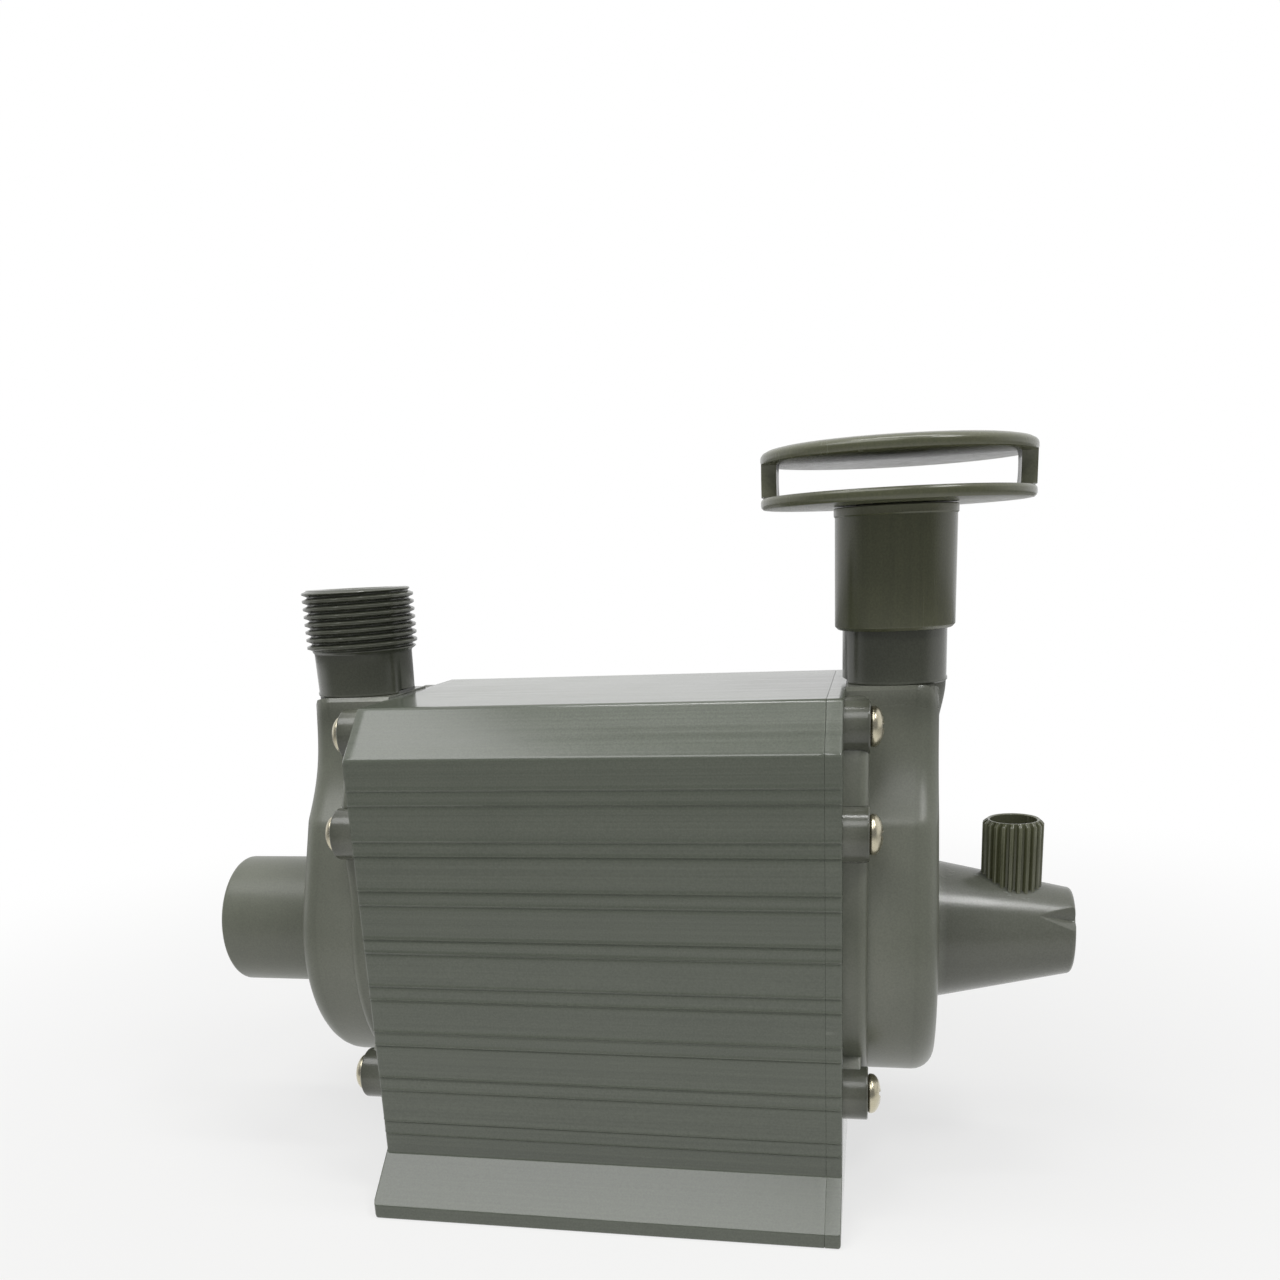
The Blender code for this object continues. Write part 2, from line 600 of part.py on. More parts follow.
def diffuser():
    """Everything here turns together about the air outlet's upright axis."""
    place = (OUTLET_OFFSET, 0, 0)
    bore = NECK_RADIUS + GAP
    step = OUTLET_TOP + GAP
    socket_top = DISH_BOTTOM - GAP
    turned("diffuser_socket", [(SOCKET_RADIUS, socket_top), (SOCKET_RADIUS, SOCKET_BOTTOM + 0.0005),
           (SOCKET_RADIUS - 0.0005, SOCKET_BOTTOM), (bore, SOCKET_BOTTOM), (bore, step),
           (0.0090, step + 0.0010), (0.0090, socket_top)], place, 0.0, "dark_plastic", 32)
    turned("diffuser_dish", [(0.0072, DISH_TOP), (HEAD_RADIUS - 0.0005, DISH_TOP),
           (HEAD_RADIUS, DISH_TOP - 0.0005), (HEAD_RADIUS, DISH_BOTTOM + 0.0008),
           (HEAD_RADIUS - 0.0008, DISH_BOTTOM), (0.0087, DISH_BOTTOM), (0.0087, 0.1470),
           (0.0072, 0.1470)], place, 0.0, "dark_plastic", 40)
    cap = turned("diffuser_cap", [(0.0, CAP_TOP), (HEAD_RADIUS - 0.0045, CAP_TOP),
                 (HEAD_RADIUS - 0.0012, CAP_TOP - 0.0004), (HEAD_RADIUS, CAP_TOP - 0.0016),
                 (HEAD_RADIUS, CAP_BOTTOM), (0.0, CAP_BOTTOM)], place, 0.0, "dark_plastic", 40,
                 closed=False)
    posts = turned("cap_posts", tube(HEAD_RADIUS, HEAD_RADIUS - POST_DEPTH, DISH_TOP + GAP,
                   CAP_BOTTOM + 0.0005), place, 0.0, None, 40)
    keep(posts, box("post_window", (0, -POST_HALF_WIDTH, 0.15), (0.12, POST_HALF_WIDTH, 0.17)))
    fuse(cap, posts)


# Screws: domed cross-head, six at each end

def screw_mesh():
    """One screw along +Z with its head's seat at the origin, its cross recess already cut."""
    dome = [(SCREW_HEAD_RADIUS * math.sin(t), 0.0006 + (SCREW_HEAD_HEIGHT - 0.0006) * math.cos(t))
            for t in (math.pi / 6 * k for k in range(4))]
    profile = dome + [(SCREW_HEAD_RADIUS, 0.0), (SCREW_SHANK, 0.0),
                      (SCREW_SHANK, -SCREW_REACH + 0.001), (0.0, -SCREW_REACH)]
    pattern = turned("screw_pattern", profile, (0, 0, 0), 0.0, None, 12, closed=False)
    for number, (half_x, half_y) in enumerate(((0.0021, 0.00045), (0.00045, 0.0021))):
        cut(pattern, box(f"recess_{number}", (-half_x, -half_y, SCREW_HEAD_HEIGHT - 0.0013),
                         (half_x, half_y, SCREW_HEAD_HEIGHT + 0.001)))
    bpy.context.view_layer.update()
    mesh = bpy.data.meshes.new_from_object(
        pattern.evaluated_get(bpy.context.evaluated_depsgraph_get()))
    mesh.name = "domed_screw"
    return mesh


def screws():
    """Twelve screws, each through its boss into the block."""
    mesh = screw_mesh()
    for side, name in ((-1, "water"), (1, "air")):
        for level, (across, up) in enumerate(SCREW_PLACES, start=1):
            for hand, row in ((-1, "front"), (1, "rear")):
                screw = show(f"screw_{name}_{row}_{level}", mesh, "stainless")
                screw.location = (side * (FLANGE_OUT + GAP), hand * across, up)
                screw.rotation_euler = (0, side * math.pi / 2, 0)


def smooth_round_pieces():
    """Shades curved faces smooth and keeps real edges sharp."""
    for thing in PUMP.objects:
        thing.data.shade_smooth()
        if thing.data.polygons:
            thing.data.set_sharp_from_angle(angle=math.radians(35))


motor_block()
rotor()
volute("water", -1, thread_profile(), LEFT_HOLES)
volute("air", 1, plain_profile(), RIGHT_HOLES)
nozzle()
diffuser()
screws()
smooth_round_pieces()
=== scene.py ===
import math

import bmesh
import bpy
import numpy as np
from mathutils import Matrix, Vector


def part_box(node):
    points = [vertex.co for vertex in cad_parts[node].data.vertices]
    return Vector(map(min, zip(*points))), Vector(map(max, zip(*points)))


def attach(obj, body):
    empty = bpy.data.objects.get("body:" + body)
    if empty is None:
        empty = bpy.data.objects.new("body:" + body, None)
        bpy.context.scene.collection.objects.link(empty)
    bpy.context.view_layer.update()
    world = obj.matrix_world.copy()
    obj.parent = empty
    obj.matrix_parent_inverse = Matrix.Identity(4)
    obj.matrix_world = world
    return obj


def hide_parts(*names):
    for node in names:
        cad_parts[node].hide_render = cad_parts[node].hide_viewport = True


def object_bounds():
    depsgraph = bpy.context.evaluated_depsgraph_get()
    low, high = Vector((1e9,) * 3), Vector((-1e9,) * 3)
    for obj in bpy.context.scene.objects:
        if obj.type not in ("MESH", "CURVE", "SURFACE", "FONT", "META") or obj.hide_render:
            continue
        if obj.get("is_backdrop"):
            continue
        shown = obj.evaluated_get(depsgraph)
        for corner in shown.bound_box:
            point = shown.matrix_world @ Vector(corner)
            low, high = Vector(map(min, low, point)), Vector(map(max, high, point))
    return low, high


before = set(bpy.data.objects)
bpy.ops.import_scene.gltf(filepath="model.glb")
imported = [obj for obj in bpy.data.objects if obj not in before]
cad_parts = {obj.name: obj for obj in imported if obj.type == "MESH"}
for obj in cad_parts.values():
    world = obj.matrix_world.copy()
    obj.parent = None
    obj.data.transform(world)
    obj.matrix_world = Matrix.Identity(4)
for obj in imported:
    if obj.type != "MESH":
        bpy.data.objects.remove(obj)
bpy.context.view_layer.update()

# Camera: level with the diffuser's socket, about a quarter of a metre from the grooved long side,
# a little past the block's right end, and tipped down and slightly clockwise.
view = bpy.data.cameras.new("camera")
view.sensor_width = 36.0
view.lens = 32.92
view.shift_x = -0.00435
view.shift_y = 0.1826
view.clip_start = 0.01
camera = bpy.data.objects.new("camera", view)
camera.location = (0.05976, -0.27315, 0.14496)
camera.rotation_euler = [math.radians(turn) for turn in (74.886, 2.476, 10.805)]
bpy.context.scene.collection.objects.link(camera)
bpy.context.scene.camera = camera
bpy.context.scene.view_settings.view_transform = "Standard"


# Floor and light: a round sheet of pale backdrop paper under three softboxes: a wide one high in
# front on the left, a narrow strip straight overhead, and a small hard one high on the right that
# draws the bright lines along round parts and edges. What shines mirrors a room that is white
# behind the object and dims towards the front.
def linear(code):
    """A colour from its sRGB hex: each part over 12.92 when dark, else ((part + 0.055) / 1.055)
    to the power 2.4."""
    parts = np.array([int(code[at:at + 2], 16) for at in (1, 3, 5)]) / 255
    return (*np.where(parts > 0.04045, ((parts + 0.055) / 1.055) ** 2.4, parts / 12.92), 1.0)


def add(tree, kind, settings=None, values=None, links=None):
    """Adds one node: its own settings, the plain values of its sockets, and links from outputs to sockets."""
    node = tree.nodes.new(kind)
    for name, value in (settings or {}).items():
        setattr(node, name, value)
    for socket, value in (values or {}).items():
        node.inputs[socket].default_value = value
    for socket, source in (links or {}).items():
        tree.links.new(source, node.inputs[socket])
    return node


def skin(points, ends="ring"):
    """Faces between neighbouring rows and columns of a grid of points. Columns always close round.
    Rows close on themselves for a ring, and are capped flat or left open otherwise."""
    rows, columns = points.shape[:2]
    number = np.arange(rows * columns).reshape(rows, columns)
    first = number if ends == "ring" else number[:-1]
    second = np.roll(number, -1, 0) if ends == "ring" else number[1:]
    faces = np.stack((first, np.roll(first, -1, 1), np.roll(second, -1, 1), second), -1)
    faces = faces.reshape(-1, 4).tolist()
    if ends == "capped":
        faces += [number[0].tolist(), number[-1].tolist()]
    return points.reshape(-1, 3), faces


def joined(shells):
    """One bmesh of closed shells: doubles merged, so seams and poles close, flat openings filled
    between the loops that share a plane across X, and every face turned outwards."""
    shape = bmesh.new()
    for points, faces in shells:
        mesh = bpy.data.meshes.new("shell")
        mesh.from_pydata(points.tolist(), [], faces)
        shape.from_mesh(mesh)
        bpy.data.meshes.remove(mesh)
    bmesh.ops.remove_doubles(shape, verts=shape.verts, dist=2e-6)
    rim = [edge for edge in shape.edges if edge.is_boundary]
    for place in sorted({round(edge.verts[0].co.x, 5) for edge in rim}):
        loops = [edge for edge in rim if abs(edge.verts[0].co.x - place) < 1e-5]
        bmesh.ops.triangle_fill(shape, use_beauty=True, edges=loops)
    bmesh.ops.recalc_face_normals(shape, faces=shape.faces)
    return shape


def show(name, shape, crease=32.0):
    """Turns a bmesh into an object at the origin, smooth but for edges sharper than the crease."""
    mesh = bpy.data.meshes.new(name)
    shape.to_mesh(mesh)
    shape.free()
    mesh.shade_smooth()
    mesh.set_sharp_from_angle(angle=math.radians(crease))
    thing = bpy.data.objects.new(name, mesh)
    bpy.context.scene.collection.objects.link(thing)
    return thing


PAPER_THICKNESS = 0.002
turn = np.linspace(0, 2 * np.pi, 96, endpoint=False)
reach = np.array([0.001, 0.1, 0.3, 0.6, 1.0, 1.5])[:, None]
paper = np.stack((reach * np.cos(turn), reach * np.sin(turn), 0 * reach * turn), -1)
underside = paper[::-1] - (0, 0, PAPER_THICKNESS)
floor = show("backdrop_paper", joined([skin(np.concatenate((paper, underside)))]))
paper_look = bpy.data.materials.new("matt_backdrop_paper")
paper_look.use_nodes = True
tree = paper_look.node_tree
shader = tree.nodes["Principled BSDF"]
shader.inputs["Base Color"].default_value = linear("#dcdbd8")
shader.inputs["Roughness"].default_value = 0.9
shader.inputs["Specular IOR Level"].default_value = 0.1
ray = add(tree, "ShaderNodeLightPath")
place = add(tree, "ShaderNodeTexCoord")
away = add(tree, "ShaderNodeVectorMath", {"operation": "LENGTH"}, links={0: place.outputs["Object"]})
near = add(tree, "ShaderNodeMapRange", {"interpolation_type": "SMOOTHSTEP"},
           {"From Min": 0.12, "From Max": 0.40, "To Min": 1.0, "To Max": 0.0},
           {"Value": away.outputs["Value"]})
mirrored = add(tree, "ShaderNodeMath", {"operation": "MULTIPLY"},
               links={0: ray.outputs["Is Glossy Ray"], 1: near.outputs[0]})
fade = add(tree, "ShaderNodeMapRange", {"interpolation_type": "SMOOTHSTEP"},
           {"From Min": 0.10, "From Max": 0.42, "To Min": 0.70, "To Max": 1.0},
           {"Value": away.outputs["Value"]})
direct = add(tree, "ShaderNodeMath", {"operation": "MULTIPLY"},
             links={0: ray.outputs["Is Camera Ray"], 1: fade.outputs[0]})
seen = add(tree, "ShaderNodeMath", {"operation": "MAXIMUM"},
           links={0: direct.outputs[0], 1: mirrored.outputs[0]})
share = add(tree, "ShaderNodeMath", {"operation": "MAXIMUM"},
            links={0: seen.outputs[0], 1: ray.outputs["Is Transmission Ray"]})
white = add(tree, "ShaderNodeEmission", values={"Color": (1, 1, 1, 1), "Strength": 1.0})
blend = add(tree, "ShaderNodeMixShader", links={0: share.outputs[0], 1: shader.outputs[0], 2: white.outputs[0]})
tree.links.new(blend.outputs[0], tree.nodes["Material Output"].inputs["Surface"])
floor.data.materials.append(paper_look)
floor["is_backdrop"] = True

world = bpy.data.worlds.new("studio")
world.use_nodes = True
bpy.context.scene.world = world
tree = world.node_tree
ray = add(tree, "ShaderNodeLightPath")
toward = add(tree, "ShaderNodeSeparateXYZ", links={0: add(tree, "ShaderNodeTexCoord").outputs["Generated"]})
lit_side = add(tree, "ShaderNodeMapRange", {"interpolation_type": "SMOOTHSTEP"},
               {"From Min": -0.45, "From Max": 0.15}, {"Value": toward.outputs["Y"]})
mirrored = add(tree, "ShaderNodeMath", {"operation": "MULTIPLY"},
               links={0: ray.outputs["Is Glossy Ray"], 1: lit_side.outputs[0]})
seen = add(tree, "ShaderNodeMath", {"operation": "MAXIMUM"},
           links={0: ray.outputs["Is Camera Ray"], 1: mirrored.outputs[0]})
seen = add(tree, "ShaderNodeMath", {"operation": "MAXIMUM"},
           links={0: seen.outputs[0], 1: ray.outputs["Is Transmission Ray"]})
dim = tree.nodes["Background"]
dim.inputs["Color"].default_value = linear("#f4f6fa")
dim.inputs["Strength"].default_value = 0.31
white = add(tree, "ShaderNodeBackground", values={"Color": (1, 1, 1, 1), "Strength": 1.0})
blend = add(tree, "ShaderNodeMixShader", links={0: seen.outputs[0], 1: dim.outputs[0], 2: white.outputs[0]})
tree.links.new(blend.outputs[0], tree.nodes["World Output"].inputs["Surface"])

for name, where, tip, turn, wide, deep, power in (
        ("front_high_softbox", (-0.20, -0.34, 0.78), 24, -32, 0.70, 0.34, 2.8),
        ("overhead_strip_softbox", (0.06, 0.00, 0.80), 0, 0, 0.50, 0.06, 1.6),
        ("right_high_softbox", (0.43, -0.25, 0.80), 30, 60, 0.24, 0.14, 1.7)):
    lamp = bpy.data.lights.new(name, "AREA")
    lamp.shape = "RECTANGLE"
    lamp.size, lamp.size_y = wide, deep
    lamp.energy = power
    softbox = bpy.data.objects.new(name, lamp)
    softbox.location = where
    softbox.rotation_euler = (math.radians(tip), 0, math.radians(turn))
    bpy.context.scene.collection.objects.link(softbox)


# Motor housing: a grey-green plastic case with straight drawn sides, a flared foot to stand on
# and chamfered shoulders. Eight pairs of fine grooves run its whole length. It is open at its
# right end, where the cover closes it, and holed at its left end for the rotor's can.
AXIS = 0.057
FOOT_HALF, FOOT_EDGE = 0.0493, 0.0033
WAIST_HALF, WAIST_HEIGHT = 0.0392, 0.0116
SHOULDER_HALF, SHOULDER_HEIGHT = 0.0405, 0.1055
TOP_HALF = 0.0302
GROOVE_FIRST, GROOVE_PITCH, GROOVE_COUNT = 0.0182, 0.0113, 8
GROOVE_PAIR, GROOVE_FALL, GROOVE_DEPTH, GROOVE_RUN = 0.0033, 0.00028, 0.00014, 0.0012
LIP_RISE, LIP_RUN = 0.00015, 0.0009
BLOCK_MIDDLE = 0.0577
CAN_HOLE = 0.0173
WALL, FLOOR_WALL = 0.0032, 0.009
CASE_EDGE, CASE_DRAWN = 0.0008, 0.016
JOINT_EDGE, JOINT_DRAWN = 0.00016, 0.0032


def bend(before, at, after, radius, steps=7, hold=0.00025):
    """A rounded corner: an arc that touches both runs at radius / tan(half the corner's angle)
    from the corner, turned about a centre on the bisector, with a held point just beyond each end."""
    before, at, after = (np.array(point, float) for point in (before, at, after))
    one = (before - at) / np.linalg.norm(before - at)
    two = (after - at) / np.linalg.norm(after - at)
    half = math.acos(np.clip(one @ two, -1, 1)) / 2
    touch = radius / math.tan(half)
    centre = at + (one + two) / np.linalg.norm(one + two) * radius / math.sin(half)
    start, end = at + one * touch - centre, at + two * touch - centre
    sweep = math.pi - 2 * half
    part = np.linspace(0, 1, steps)[:, None]
    arc = centre + (np.sin((1 - part) * sweep) * start + np.sin(part * sweep) * end) / math.sin(sweep)
    return np.vstack((at + one * (touch + hold), arc, at + two * (touch + hold)))


def groove_relief(height):
    """How far the side stands out at a height. Each line of each pair is a small step under a low
    lip: going down it swells as the square of the nearness, falls sharply, and eases back over a
    longer run. Over it lie drawing lines 3 micrometres deep, from three sine waves about 1.1,
    0.7 and 0.4 mm long."""
    relief = np.zeros_like(height)
    for pair in range(GROOVE_COUNT):
        for offset in (-GROOVE_PAIR / 2, GROOVE_PAIR / 2):
            above = height - GROOVE_FIRST - pair * GROOVE_PITCH - offset
            swell = LIP_RISE * np.clip(1 - above / LIP_RUN, 0, 1) ** 2
            below = -GROOVE_FALL - above
            sunk = -GROOVE_DEPTH * np.clip(1 - below / GROOVE_RUN, 0, 1) ** 2
            fall = LIP_RISE + (LIP_RISE + GROOVE_DEPTH) * above / GROOVE_FALL
            relief += np.where(above >= 0, swell, np.where(below >= 0, sunk, fall))
    waves = np.sin(height * 5900) + np.sin(height * 9100 + 1.3) + np.sin(height * 14300 + 0.4)
    return relief + 0.000003 * waves


def block_outline():
    """The block's section from the middle of its underside round to the middle of its top and back
    down the other side: rounded foot, concave waist, grooved side, rounded shoulder and top edge."""
    foot, edge = (FOOT_HALF, 0.0), (FOOT_HALF, FOOT_EDGE)
    waist, shoulder = (WAIST_HALF, WAIST_HEIGHT), (SHOULDER_HALF, SHOULDER_HEIGHT)
    top = (TOP_HALF, cover_high.z)
    height = np.arange(WAIST_HEIGHT + 0.0012, SHOULDER_HEIGHT - 0.0011, 0.00014)
    part = (height - WAIST_HEIGHT) / (SHOULDER_HEIGHT - WAIST_HEIGHT)
    side = WAIST_HALF + (SHOULDER_HALF - WAIST_HALF) * part + groove_relief(height)
    half = np.vstack((bend((0, 0), foot, edge, 0.0005), bend(foot, edge, waist, 0.0005),
                      bend(edge, waist, shoulder, 0.0007, hold=0.0001), np.stack((side, height), -1),
                      bend(waist, shoulder, top, 0.0014, hold=0.0001),
                      bend(shoulder, top, (0, top[1]), 0.0016)))
    return np.vstack((half, half[::-1] * (-1, 1)))


def walled(outline, along, shrink):
    """A section carried along X: at each step it is drawn towards the block's middle by a share."""
    middle = np.array((0.0, BLOCK_MIDDLE))
    section = middle + (outline - middle) * (1 - np.array(shrink)[:, None, None])
    rows = np.broadcast_to(np.array(along)[:, None, None], section.shape[:2] + (1,))
    return np.concatenate((rows, section), -1)


def ring_about_x(radius, along):
    """Circles about the rotor's axis, one at each distance along it, turned from straight up."""
    turn = np.linspace(0, 2 * np.pi, 96, endpoint=False)
    radius, along = np.broadcast_arrays(np.array(radius, float)[..., None], np.array(along, float)[..., None])
    return np.stack((along + 0 * turn, radius * np.sin(turn), AXIS + radius * np.cos(turn)), -1)


def new_finish(name, metallic=0.0):
    """A material with its tree, its shader and object coordinates. A plastic bends light by 1.54,
    and a metal keeps the shader's own index."""
    look = bpy.data.materials.new(name)
    look.use_nodes = True
    tree = look.node_tree
    shader = tree.nodes["Principled BSDF"]
    shader.inputs["Metallic"].default_value = metallic
    if metallic == 0.0:
        shader.inputs["IOR"].default_value = 1.54
    return look, tree, shader, add(tree, "ShaderNodeTexCoord").outputs["Object"]


def moulded(name, colour, deep, wear_and_sheen_colour, roughness, streaks, streak_share, wear_and_sheen_share=0.6, bump_share=0.4,
            polished=None):
    """Satin moulded plastic. Slow mottling 25 mm wide and drawn streaks between a deep and a plain
    colour, fine specks, paler edges set by pointiness, partly from rubbing and partly a painted
    highlight where edges, crests and ribs would catch the light, spark-eroded grain in the bump,
    drawn 0.4 mm coarse so that it shows, and the same streaks in the gloss. The
    polished argument gives the height above which the surface is smooth, a darker
    colour there that is painted shade, and the roughness there, and the places and radius of the
    screw sleeves, which get the same darker colour and roughness."""
    look, tree, shader, place = new_finish(name)
    cloud = add(tree, "ShaderNodeTexNoise", values={"Scale": 38.0, "Detail": 4.0, "Roughness": 0.6},
                links={"Vector": place})
    drawn = add(tree, "ShaderNodeMapping", values={"Scale": streaks}, links={"Vector": place})
    lines = add(tree, "ShaderNodeTexNoise", values={"Scale": 1.0, "Detail": 5.0, "Roughness": 0.65},
                links={"Vector": drawn.outputs[0]})
    both = add(tree, "ShaderNodeMix", values={0: streak_share},
               links={2: cloud.outputs[0], 3: lines.outputs[0]})
    tone = add(tree, "ShaderNodeMapRange", values={"From Min": 0.30, "From Max": 0.70},
               links={"Value": both.outputs[0]})
    body = add(tree, "ShaderNodeMix", {"data_type": "RGBA"}, {6: linear(deep), 7: linear(colour)},
               {0: tone.outputs[0]})
    shape = add(tree, "ShaderNodeNewGeometry")
    # Paler convex edges from pointiness: partly rubbing, partly a painted highlight on edges, thread crests and
    # ribs.
    edge = add(tree, "ShaderNodeMapRange", values={"From Min": 0.515, "From Max": 0.60, "To Max": wear_and_sheen_share},
               links={"Value": shape.outputs["Pointiness"]})
    wear_and_sheen_edges = add(tree, "ShaderNodeMix", {"data_type": "RGBA"}, {7: linear(wear_and_sheen_colour)},
                 {0: edge.outputs[0], 6: body.outputs[2]})
    glossy, dull = roughness - 0.06, roughness + 0.07
    gloss = add(tree, "ShaderNodeMapRange", links={"Value": both.outputs[0]},
                values={"From Min": 0.3, "From Max": 0.7, "To Min": glossy, "To Max": dull})
    pits = add(tree, "ShaderNodeTexNoise", values={"Scale": 2400.0, "Detail": 2.0}, links={"Vector": place})
    speck = add(tree, "ShaderNodeMapRange", links={"Value": pits.outputs[0]},
                values={"From Min": 0.3, "From Max": 0.7, "To Min": 0.90, "To Max": 1.08})
    final, shine = wear_and_sheen_edges.outputs[2], gloss.outputs[0]
    if polished:
        # Painted shade: above the parting line and on the screw sleeves the colour turns to the darker tone,
        # which stands in for shade there; the lower roughness is the real polish.
        height, dark, smooth, spots, reach = polished
        part = add(tree, "ShaderNodeSeparateXYZ", links={0: place})
        polish_and_painted_shade_mask = add(tree, "ShaderNodeMapRange", {"interpolation_type": "SMOOTHSTEP"},
                    {"From Min": height - 0.012, "From Max": height + 0.003}, {"Value": part.outputs["Z"]})
        out = add(tree, "ShaderNodeMath", {"operation": "ABSOLUTE"}, links={0: part.outputs["Y"]})
        section = add(tree, "ShaderNodeCombineXYZ", links={"Y": out.outputs[0], "Z": part.outputs["Z"]})
        for across, up in spots:
            away = add(tree, "ShaderNodeVectorMath", {"operation": "DISTANCE"}, {1: (0, across, up)},
                       {0: section.outputs[0]})
            inside = add(tree, "ShaderNodeMath", {"operation": "LESS_THAN"}, {1: reach},
                         {0: away.outputs["Value"]})
            polish_and_painted_shade_mask = add(tree, "ShaderNodeMath", {"operation": "MAXIMUM"},
                        links={0: polish_and_painted_shade_mask.outputs[0], 1: inside.outputs[0]})
        # Painted highlight: in that zone the thread crests and other edges turn paler by pointiness.
        crest = add(tree, "ShaderNodeMix", {"data_type": "RGBA"}, {6: linear(dark), 7: linear(wear_and_sheen_colour)},
                    {0: edge.outputs[0]})
        final = add(tree, "ShaderNodeMix", {"data_type": "RGBA"},
                    links={0: polish_and_painted_shade_mask.outputs[0], 6: final, 7: crest.outputs[2]}).outputs[2]
        shine = add(tree, "ShaderNodeMix", values={3: smooth}, links={0: polish_and_painted_shade_mask.outputs[0], 2: shine}).outputs[0]
    specked = add(tree, "ShaderNodeMix", {"data_type": "RGBA", "blend_type": "MULTIPLY"}, {0: 1.0},
                  {6: final, 7: speck.outputs[0]})
    tree.links.new(specked.outputs[2], shader.inputs["Base Color"])
    tree.links.new(shine, shader.inputs["Roughness"])
    rough = add(tree, "ShaderNodeMix", values={0: streak_share},
                links={2: pits.outputs[0], 3: lines.outputs[0]})
    bump = add(tree, "ShaderNodeBump", values={"Strength": bump_share, "Distance": 0.00008},
               links={"Height": rough.outputs[0]})
    tree.links.new(bump.outputs[0], shader.inputs["Normal"])
    return look


def fit_on(thing, look, body, slot, *nodes):
    """Gives a new piece its finish and hands it to the frame in place of its CAD nodes."""
    thing.data.materials.append(look)
    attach(thing, body)
    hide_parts(*nodes)


housing_low, housing_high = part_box("motor_housing")
cover_low, cover_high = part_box("end_cover")
outline = block_outline()
inner_half = np.array([(WAIST_HALF - WALL, FLOOR_WALL), (SHOULDER_HALF - WALL, SHOULDER_HEIGHT - WALL / 3),
                       (TOP_HALF - WALL / 2, cover_high.z - WALL)])
hollow = np.vstack((inner_half, inner_half[::-1] * (-1, 1)))
gap = cover_low.x - housing_high.x
left, right = housing_low.x - gap, cover_low.x
# An edge rounded by a quarter circle: shares of its width, and how far each is drawn in.
run = np.array((0.0, 0.15, 0.5, 1.0))
drawn = 1 - np.sqrt(run * (2 - run))
along = np.concatenate((left + CASE_EDGE * run, (left + 0.003, -0.02, 0.02, right - 0.001),
                        right - JOINT_EDGE * run[::-1]))
case = walled(outline, along, np.concatenate((CASE_DRAWN * drawn, (0, 0, 0, 0), JOINT_DRAWN * drawn[::-1])))
cavity = walled(hollow, (left + WALL, right), (0, 0))
throat = ring_about_x([CAN_HOLE, CAN_HOLE], [left, left + WALL])
housing = show("motor_case", joined([skin(case, "open"), skin(cavity, "open"), skin(throat, "open")]), 24.0)
# Grey-green ABS drawn through a long die: satin, with fine lines 1 mm apart along the block.
drawn_abs = moulded("drawn_grey_abs", "#656a5e", "#585d52", "#8d9086", 0.17, (5.0, 1100.0, 1100.0), 0.72,
                    wear_and_sheen_share=0.3, bump_share=0.10)
fit_on(housing, drawn_abs, "block", "housing_plastic", "motor_housing")


# End cover: a plate with the housing's section, screwed over its right end. The joint shows as a
# dark line down the side and across the top.
COVER_EDGE, COVER_DRAWN = 0.0006, 0.011
low, high = cover_low.x, cover_high.x + gap
plate = walled(outline, np.concatenate((low + JOINT_EDGE * run, high - COVER_EDGE * run[::-1])),
               np.concatenate((JOINT_DRAWN * drawn, COVER_DRAWN * drawn[::-1])))
hole = ring_about_x([CAN_HOLE, CAN_HOLE], [low, high])
cover = show("end_plate", joined([skin(plate, "open"), skin(hole, "open")]), 24.0)
fit_on(cover, drawn_abs, "block", "housing_plastic", "end_cover")


# Potted motor inside the housing: nylon rotor can and bobbins, copper windings on a laminated
# core, and black resin cast round them. Only its ends are ever seen, down the bores.
def inner_finish(name, colour, deep, roughness, metallic, spread, bump_height, grain=900.0):
    """A plain inner material: two close tones in a noise stretched by spread, and the same noise as bump."""
    look, tree, shader, place = new_finish(name, metallic)
    drawn = add(tree, "ShaderNodeMapping", values={"Scale": spread}, links={"Vector": place})
    grit = add(tree, "ShaderNodeTexNoise", values={"Scale": grain, "Detail": 3.0},
               links={"Vector": drawn.outputs[0]})
    body = add(tree, "ShaderNodeMix", {"data_type": "RGBA"}, {6: linear(deep), 7: linear(colour)},
               {0: grit.outputs[0]})
    tree.links.new(body.outputs[2], shader.inputs["Base Color"])
    shader.inputs["Roughness"].default_value = roughness
    bump = add(tree, "ShaderNodeBump", values={"Strength": 0.5, "Distance": bump_height},
               links={"Height": grit.outputs[0]})
    tree.links.new(bump.outputs[0], shader.inputs["Normal"])
    return look


# Moulded nylon: milky off-white with a waxy surface.
nylon = inner_finish("moulded_nylon", "#d9d6c8", "#c9c5b4", 0.48, 0.0, (1, 1, 1), 0.00004)
# Stamped silicon steel sheets 0.5 mm thick, stacked along the rotor, so the lines run across X.
laminations = inner_finish("stacked_silicon_steel", "#8c8d90", "#4a4b50", 0.5, 1.0, (2.2, 0.05, 0.05), 0.0001)
# Enamelled copper wire 0.4 mm thick, wound round the legs, so the turns run level.
copper = inner_finish("enamelled_copper_wire", "#b4602f", "#7a3716", 0.32, 1.0, (0.05, 0.05, 2.8), 0.00012)
# Cast epoxy: near black and glossy, with slow flow marks.
resin = inner_finish("cast_epoxy_resin", "#2a2a2b", "#1c1c1e", 0.25, 0.0, (0.05, 0.05, 0.05), 0.0002)
for nodes, look in ((("rotor_can", "bobbin_front", "bobbin_rear"), nylon), (("stator_core",), laminations),
                    (("winding_front", "winding_rear"), copper), (("potting_resin",), resin)):
    for node in nodes:
        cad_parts[node].material_slots[0].material = look


